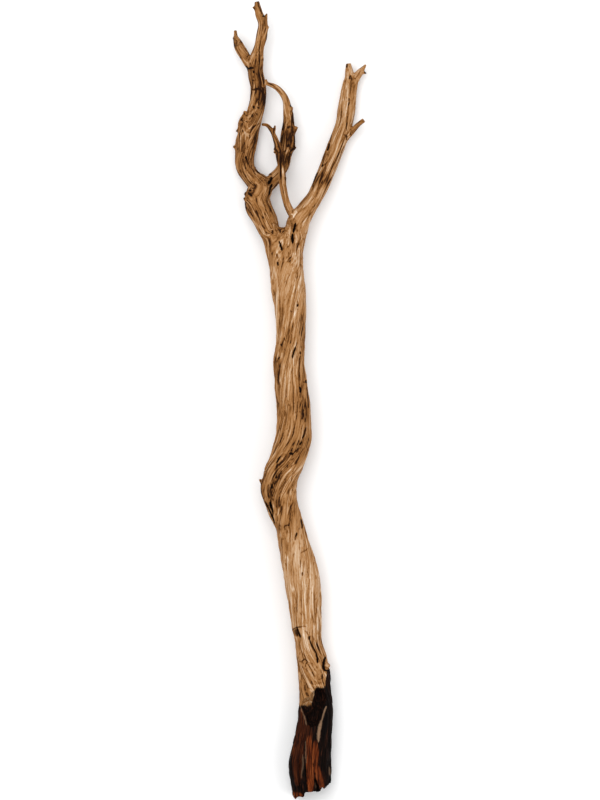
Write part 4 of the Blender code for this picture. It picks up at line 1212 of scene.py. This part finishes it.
def carve(wood, limbs):
    """Carves the skin, and stores on it what the finish needs."""
    mesh = wood.data
    places = points_of(mesh)
    ends = np.empty(len(mesh.edges) * 2, np.int32)
    mesh.edges.foreach_get("vertices", ends)
    ends = ends.reshape(-1, 2)

    measured = [limb.measure_near(places) for limb in limbs]
    outside = np.stack([m[3] for m in measured], axis=1)
    closest = np.sort(outside, axis=1)
    crease = 1 - ramp(closest[:, 1] - closest[:, 0], 0.001, 0.006)
    # the walls of the hollows and the break lie deep inside the limb that they are cut from
    deep = ramp(-closest[:, 0], 0.0015, 0.004)
    places = softened(places, ends, 0.6 * np.maximum(crease, 0.15) * (1 - deep), 14)
    put_points(mesh, places)
    normals = normals_of(mesh)
    log, radius, owner = straightened(places, limbs, measured, outside)

    # ridges of the grain: broad flutes, then ridges 4 to 6 mm apart, then fine ones between them
    log = log + 0.0016 * noise(log / [0.014, 0.014, 0.030], 9)[:, None] * [1, -1, 0]
    flute = noise(log / [0.013, 0.013, 0.11], 1)
    broad = np.abs(noise(log / [0.0050, 0.0050, 0.080], 2))
    fine = np.abs(noise(log / [0.0026, 0.0026, 0.050], 3))
    lumps = noise(places / 0.028, 4)
    knobs = noise(places / 0.009, 8)
    patch = 0.45 + 0.55 * ramp(noise(log / [0.02, 0.02, 0.09], 5), -0.35, 0.45)
    split = noise(log / [0.0075, 0.0075, 0.130], 6)
    crack = np.exp(-((split / 0.085) ** 2)) * ramp(noise(log / [0.015, 0.015, 0.06], 7), -0.05, 0.35)
    slots = scattered_slots(log, SLOT_COUNT)
    size = np.clip(radius / FULL_RELIEF_RADIUS, 0.25, 1.15)
    height = FLUTE_HEIGHT * flute + LUMP_HEIGHT * lumps + KNOB_HEIGHT * knobs
    height += (RIDGE_HEIGHT * (broad - 0.35) + FINE_RIDGE_HEIGHT * (fine - 0.35)) * patch
    drawn = places + MIDDLE
    x, y = drawn[:, 0], drawn[:, 1]
    on_top = ramp(normals[:, 2], -0.05, 0.30)
    # the upper side has few scattered slots, because it has the strokes
    slots *= 1 - 0.8 * on_top
    height -= CRACK_DEPTH * crack + SLOT_DEPTH * slots
    height *= size

    # the splinters and plates that the rotten base is made of
    sideways, up, _, _ = measured[0]
    rotten = rottenness(log, y, sideways, up, owner == 0)
    # painted shade: the walls of the rot hollows and of the broken end, deep inside the trunk, are mixed to
    # near black in the finish
    deep_wall_shade = deep * (y < HOLLOWS_END)
    splinter = np.abs(noise(log / [0.0040, 0.0040, 0.060], 12))
    plate = np.abs(noise(log / [0.0070, 0.0070, 0.016], 13))
    decay = SPLINTER_HEIGHT * (splinter - 0.3) + PLATE_HEIGHT * (plate - 0.3)
    height = height * (1 - 0.7 * rotten) + rotten * decay
    height *= 1 - 0.9 * deep
    carved = places + normals * height[:, None]

    # the twig lies over the other limbs, so it has strokes of its own; its root takes both kinds
    on_twig = np.array(["twig" in limb.name for limb in limbs])[owner]
    # the scattered slots and the strokes darken the wood: brown grain, knots and pits, and painted shade in
    # the deep slots and holes
    shade = 0.45 * slots
    pale = np.zeros(len(places))
    spots = drawn[:, :2] + 0.0005 * noise(places / 0.0022, 15)[:, None]
    carve_strokes(carved, spots, on_top, on_twig, on_twig & (y < TWIG_ROOT_END), shade, pale)
    carved[:, 2] = np.maximum(carved[:, 2], 0)
    put_points(mesh, carved)
    # the darkest strokes, which the finish mixes towards black: in knots and dark grain that is their own
    # colour, in deep slots, holes and cracks it is painted shade
    knot_dark_and_slot_shade = ramp(shade, 0.66, 1.0)

    # how pale the wood is: its limb's paleness, then ridges, cracks and stains
    tone = limb_paleness(y, limbs, outside, owner)
    tone += (0.34 * (broad - 0.33) + 0.20 * (fine - 0.33)) * patch + 0.08 * flute
    tone -= 0.20 * crack
    edge = 1 + 0.5 * noise(log / [0.005, 0.005, 0.02], 16)
    for stain_x, stain_y, reach_x, reach_y, amount in STAINS:
        away = ((1000 * x - stain_x) / reach_x) ** 2 + ((1000 * y - stain_y) / reach_y) ** 2
        tone -= amount * np.exp(-away * edge) * ramp(normals[:, 2], -0.6, 0.1)
    tone += 0.34 * pale - 0.50 * shade**1.2 - 0.05

    # heartwood shows between the splinters of the base, and at the toe
    heart = np.zeros(len(places))
    for half_width, strength, *line in HEARTWOOD:
        weight = stroke_weight(spots, MILLIMETRE * np.array(line), MILLIMETRE * half_width)
        heart = np.maximum(heart, strength * ramp(weight, 0.0, 0.45))
    heart *= rotten * on_top

    finish = {
        "log": log,
        "tone": tone,
        "knot_dark_and_slot_shade": knot_dark_and_slot_shade,
        "pale": pale,
        "rotten": rotten,
        "heart": heart,
        "deep_wall_shade": deep_wall_shade,
    }
    for name, values in finish.items():
        store(mesh, name, values)


def store(mesh, name, values):
    """Keeps one value, or one place, for each point of the mesh, under a name that the finish reads."""
    kind = "FLOAT_VECTOR" if values.ndim == 2 else "FLOAT"
    layer = mesh.attributes.new(name, kind, "POINT")
    layer.data.foreach_set("vector" if values.ndim == 2 else "value", values.astype(np.float32).ravel())


# ---------------------------------------------------------------- finish


def linear(red, green, blue):
    """A display colour, 0 to 255, as the shader's linear colour."""
    colour = []
    for c in (red, green, blue):
        colour.append(((c / 255 + 0.055) / 1.055) ** 2.4 if c > 10 else c / 255 / 12.92)
    return colour + [1.0]


class Nodes:
    """Short ways to add and link a material's nodes."""

    def __init__(self, name):
        self.material = bpy.data.materials.new(name)
        self.material.use_nodes = True
        self.tree = self.material.node_tree
        self.shader = self.tree.nodes["Principled BSDF"]

    def add(self, kind, settings=None, **inputs):
        """A new node's outputs. An input is named, or numbered from 0 as in0, in1 and so on."""
        node = self.tree.nodes.new("ShaderNode" + kind)
        for key, value in (settings or {}).items():
            setattr(node, key, value)
        for key, value in inputs.items():
            self.feed(node, int(key[2:]) if key.startswith("in") else key, value)
        return node.outputs

    def feed(self, node, key, value):
        """Links the value to an input, given by its number or name, or sets it there."""
        if isinstance(value, bpy.types.NodeSocket):
            self.tree.links.new(value, node.inputs[key])
        else:
            node.inputs[key].default_value = value

    def stored(self, name, output="Fac"):
        return self.add("Attribute", {"attribute_name": name})[output]

    def math(self, operation, *values, clamp=False):
        inputs = {f"in{k}": value for k, value in enumerate(values)}
        return self.add("Math", {"operation": operation, "use_clamp": clamp}, **inputs)[0]

    def mix(self, factor, a, b, blend="MIX"):
        node = self.tree.nodes.new("ShaderNodeMix")
        node.data_type = "RGBA"
        node.blend_type = blend
        for index, value in ((0, factor), (6, a), (7, b)):
            self.feed(node, index, value)
        return node.outputs[2]

    def colours(self, factor, stops):
        node = self.tree.nodes.new("ShaderNodeValToRGB")
        self.tree.links.new(factor, node.inputs[0])
        elements = node.color_ramp.elements
        while len(elements) < len(stops):
            elements.new(0.5)
        for element, (place, colour) in zip(elements, stops):
            element.position = place
            element.color = linear(*colour)
        return node.outputs[0]

    def rise(self, value, low, high):
        """0 at low, 1 at high, and a smooth rise or fall between them."""
        return self.add("MapRange", {"interpolation_type": "SMOOTHSTEP"}, in0=value, in1=low, in2=high)[0]

    def band(self, value, middle, half_width):
        """1 where the value is the middle one, falling to 0 at this far from it."""
        away = self.math("ABSOLUTE", self.math("SUBTRACT", value, middle))
        return self.rise(away, half_width, 0.0)

    def grain(self, log, across, along, **settings):
        """Noise drawn out along the log: about this far across and along, in metres."""
        scale = (1 / across, 1 / across, 1 / along)
        place = self.add("Mapping", in0=log, in3=scale)[0]
        return self.add("TexNoise", in0=place, **{"Scale": 1.0, **settings})[0]


def weathered_wood():
    """Bare wood, bleached on its ridges and rust brown in its grooves, rotted dark at the base, with painted
    shade near black in its deep slots, holes and hollows.
    """
    n = Nodes("weathered_wood")
    log = n.stored("log", "Vector")
    fibre = n.grain(log, 0.0011, 0.026, Detail=3.0, Roughness=0.6)
    streak = n.grain(log, 0.0024, 0.060, Detail=2.0, Roughness=0.5)
    pore = n.grain(log, 0.0009, 0.0030, Detail=2.0, Roughness=0.5)
    cloud = n.grain(log, 0.0140, 0.050, Detail=2.0, Roughness=0.5)

    # thin brown lines run along the grain, and pits lie in rows between them
    contour = n.grain(log, 0.0054, 0.120, Detail=1.0)
    long_line = n.band(contour, 0.50, 0.050)
    pale_line = n.band(contour, 0.61, 0.050)
    short_line = n.band(n.grain(log, 0.0034, 0.045, Detail=1.0), 0.47, 0.046)
    long_line = n.math("MULTIPLY", long_line, n.rise(n.grain(log, 0.0110, 0.045), 0.32, 0.52))
    short_line = n.math("MULTIPLY", short_line, n.rise(n.grain(log, 0.0070, 0.022), 0.42, 0.58))
    cells = n.add("Mapping", in0=log, in3=(1 / 0.0032, 1 / 0.0032, 1 / 0.0070))[0]
    pit = n.rise(n.add("TexVoronoi", in0=cells, Scale=1.0)["Distance"], 0.30, 0.14)
    pit = n.math("MULTIPLY", pit, n.rise(n.grain(log, 0.0090, 0.030), 0.50, 0.62))

    tone = n.stored("tone")
    for layer, middle, amount in (
        (fibre, 0.5, 0.54), (streak, 0.46, 0.42), (pore, 0.5, 0.28), (cloud, 0.5, 0.16),
        (long_line, 0.0, -0.27), (short_line, 0.0, -0.20), (pit, 0.0, -0.22), (pale_line, 0.0, 0.25),
    ):
        tone = n.math("MULTIPLY_ADD", n.math("SUBTRACT", layer, middle), amount, tone)
    sound = n.colours(
        tone,
        [
            (0.00, (40, 20, 7)),
            (0.16, (100, 61, 26)),
            (0.34, (142, 97, 53)),
            (0.52, (165, 122, 80)),
            (0.70, (186, 153, 120)),
            (0.86, (203, 178, 152)),
            (1.00, (222, 203, 184)),
        ],
    )
    # the darkest strokes go towards black: painted shade in deep slots, holes and cracks, and the own dark
    # of knots and grain
    sound = n.mix(n.stored("knot_dark_and_slot_shade"), sound, linear(10, 4, 2))

    rot_tone = n.math("ADD", n.math("MULTIPLY", streak, 0.8), n.math("MULTIPLY", fibre, 0.8))
    rot_tone = n.math("ADD", rot_tone, -0.29)
    bark = n.colours(
        rot_tone,
        [(0.34, (3, 1, 1)), (0.52, (10, 4, 2)), (0.66, (34, 14, 7)), (0.80, (70, 38, 22))],
    )
    heartwood = n.colours(
        rot_tone,
        [(0.30, (26, 8, 2)), (0.46, (66, 25, 7)), (0.60, (104, 46, 16)), (0.80, (128, 72, 36))],
    )
    decayed = n.mix(n.stored("heart"), bark, heartwood)
    decayed = n.mix(n.math("MULTIPLY", n.stored("pale"), 0.85), decayed, linear(140, 110, 85))
    # in the rotten base the darkest strokes go near black too: painted shade in the cracks between the
    # splinters
    decayed = n.mix(n.math("MULTIPLY", n.stored("knot_dark_and_slot_shade"), 0.9), decayed, linear(3, 1, 1))
    colour = n.mix(n.stored("rotten"), sound, decayed)
    # painted shade: the walls of the rot hollows and of the broken end go near black
    colour = n.mix(n.stored("deep_wall_shade"), colour, linear(4, 2, 1))
    n.tree.links.new(colour, n.shader.inputs["Base Color"])
    n.shader.inputs["Roughness"].default_value = 0.82
    n.shader.inputs["Specular IOR Level"].default_value = 0.06
    return n.material


def pale_paper():
    """Matt white, for the floor."""
    n = Nodes("pale_paper")
    n.shader.inputs["Base Color"].default_value = (0.9, 0.9, 0.9, 1.0)
    n.shader.inputs["Roughness"].default_value = 1.0
    n.shader.inputs["Specular IOR Level"].default_value = 0.0
    return n.material


# ---------------------------------------------------------------- making


def make_driftwood():
    """The whole branch, carved and finished, as one object."""
    limbs = {"trunk": Limb("trunk", TRUNK)}
    for name, (stations, parent) in LIMBS.items():
        limbs[name] = Limb(name, stations, limbs[parent])
    for name, (root, root_radius, tip, tip_radius) in SNAGS.items():
        parent = SNAG_PARENTS[name.split("_")[0]]
        reach = 1.0 if parent == "trunk" else SNAG_REACH
        limbs[name] = Limb(name, snag_stations(root, root_radius, tip, tip_radius, reach), limbs[parent])
    limbs = list(limbs.values())
    wood = fused_skin(limbs)
    wood.name = wood.data.name = "driftwood_skin"
    carve(wood, limbs)
    triangles = sum(len(face.vertices) - 2 for face in wood.data.polygons)
    apply_modifier(wood, "DECIMATE", ratio=min(1, MOST_TRIANGLES / triangles))
    wood.data.materials.clear()
    wood.data.materials.append(weathered_wood())
    bpy.ops.object.select_all(action="DESELECT")
    wood.select_set(True)
    bpy.context.view_layer.objects.active = wood
    bpy.ops.object.shade_smooth()
    return wood


CAMERA_AIM = (-0.00067, 0.00094)
CAMERA_LENS = 200
SENSOR_SIZE = 36  # millimetres, along the picture's long side
SEEN_LENGTH = 1.2  # metres along the picture's long side, at the branch's widest
WIDEST_HEIGHT = 0.033  # how high up the branch that is
CAMERA_HEIGHT = WIDEST_HEIGHT + CAMERA_LENS / SENSOR_SIZE * SEEN_LENGTH
SKY_STRENGTH = 0.75
# Soft lamps that face the branch: the place, the side of the square in metres, and the power in watts.
LAMPS = [
    ("overhead_softbox", (-0.5, 0.6, 2.4), 2.0, 42.0),
    ("side_softbox", (1.4, -0.8, 1.6), 1.2, 10.0),
]


def make_stage():
    """The floor, the light and the camera."""
    bpy.ops.object.select_all(action="DESELECT")
    bpy.ops.mesh.primitive_plane_add(size=14.0, location=(0, 0, -0.0005))
    floor = bpy.context.object
    floor.name = "floor"
    floor.data.materials.append(pale_paper())

    world = bpy.data.worlds.new("studio")
    bpy.context.scene.world = world
    world.use_nodes = True
    world.node_tree.nodes["Background"].inputs["Color"].default_value = (1, 1, 1, 1)
    world.node_tree.nodes["Background"].inputs["Strength"].default_value = SKY_STRENGTH

    for name, place, size, power in LAMPS:
        lamp = bpy.data.lights.new(name, "AREA")
        lamp.shape = "SQUARE"
        lamp.size = size
        lamp.energy = power
        obj = bpy.data.objects.new(name, lamp)
        obj.location = place
        obj.rotation_euler = (-Vector(place)).to_track_quat("-Z", "Y").to_euler()
        bpy.context.scene.collection.objects.link(obj)

    camera = bpy.data.cameras.new("camera")
    camera.lens = CAMERA_LENS
    camera.clip_end = 50
    obj = bpy.data.objects.new("camera", camera)
    obj.location = (*CAMERA_AIM, CAMERA_HEIGHT)
    bpy.context.scene.collection.objects.link(obj)
    bpy.context.scene.camera = obj
    bpy.context.scene.view_settings.view_transform = "Standard"


skin = make_driftwood()
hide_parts("driftwood")
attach(skin, "root")
make_stage()
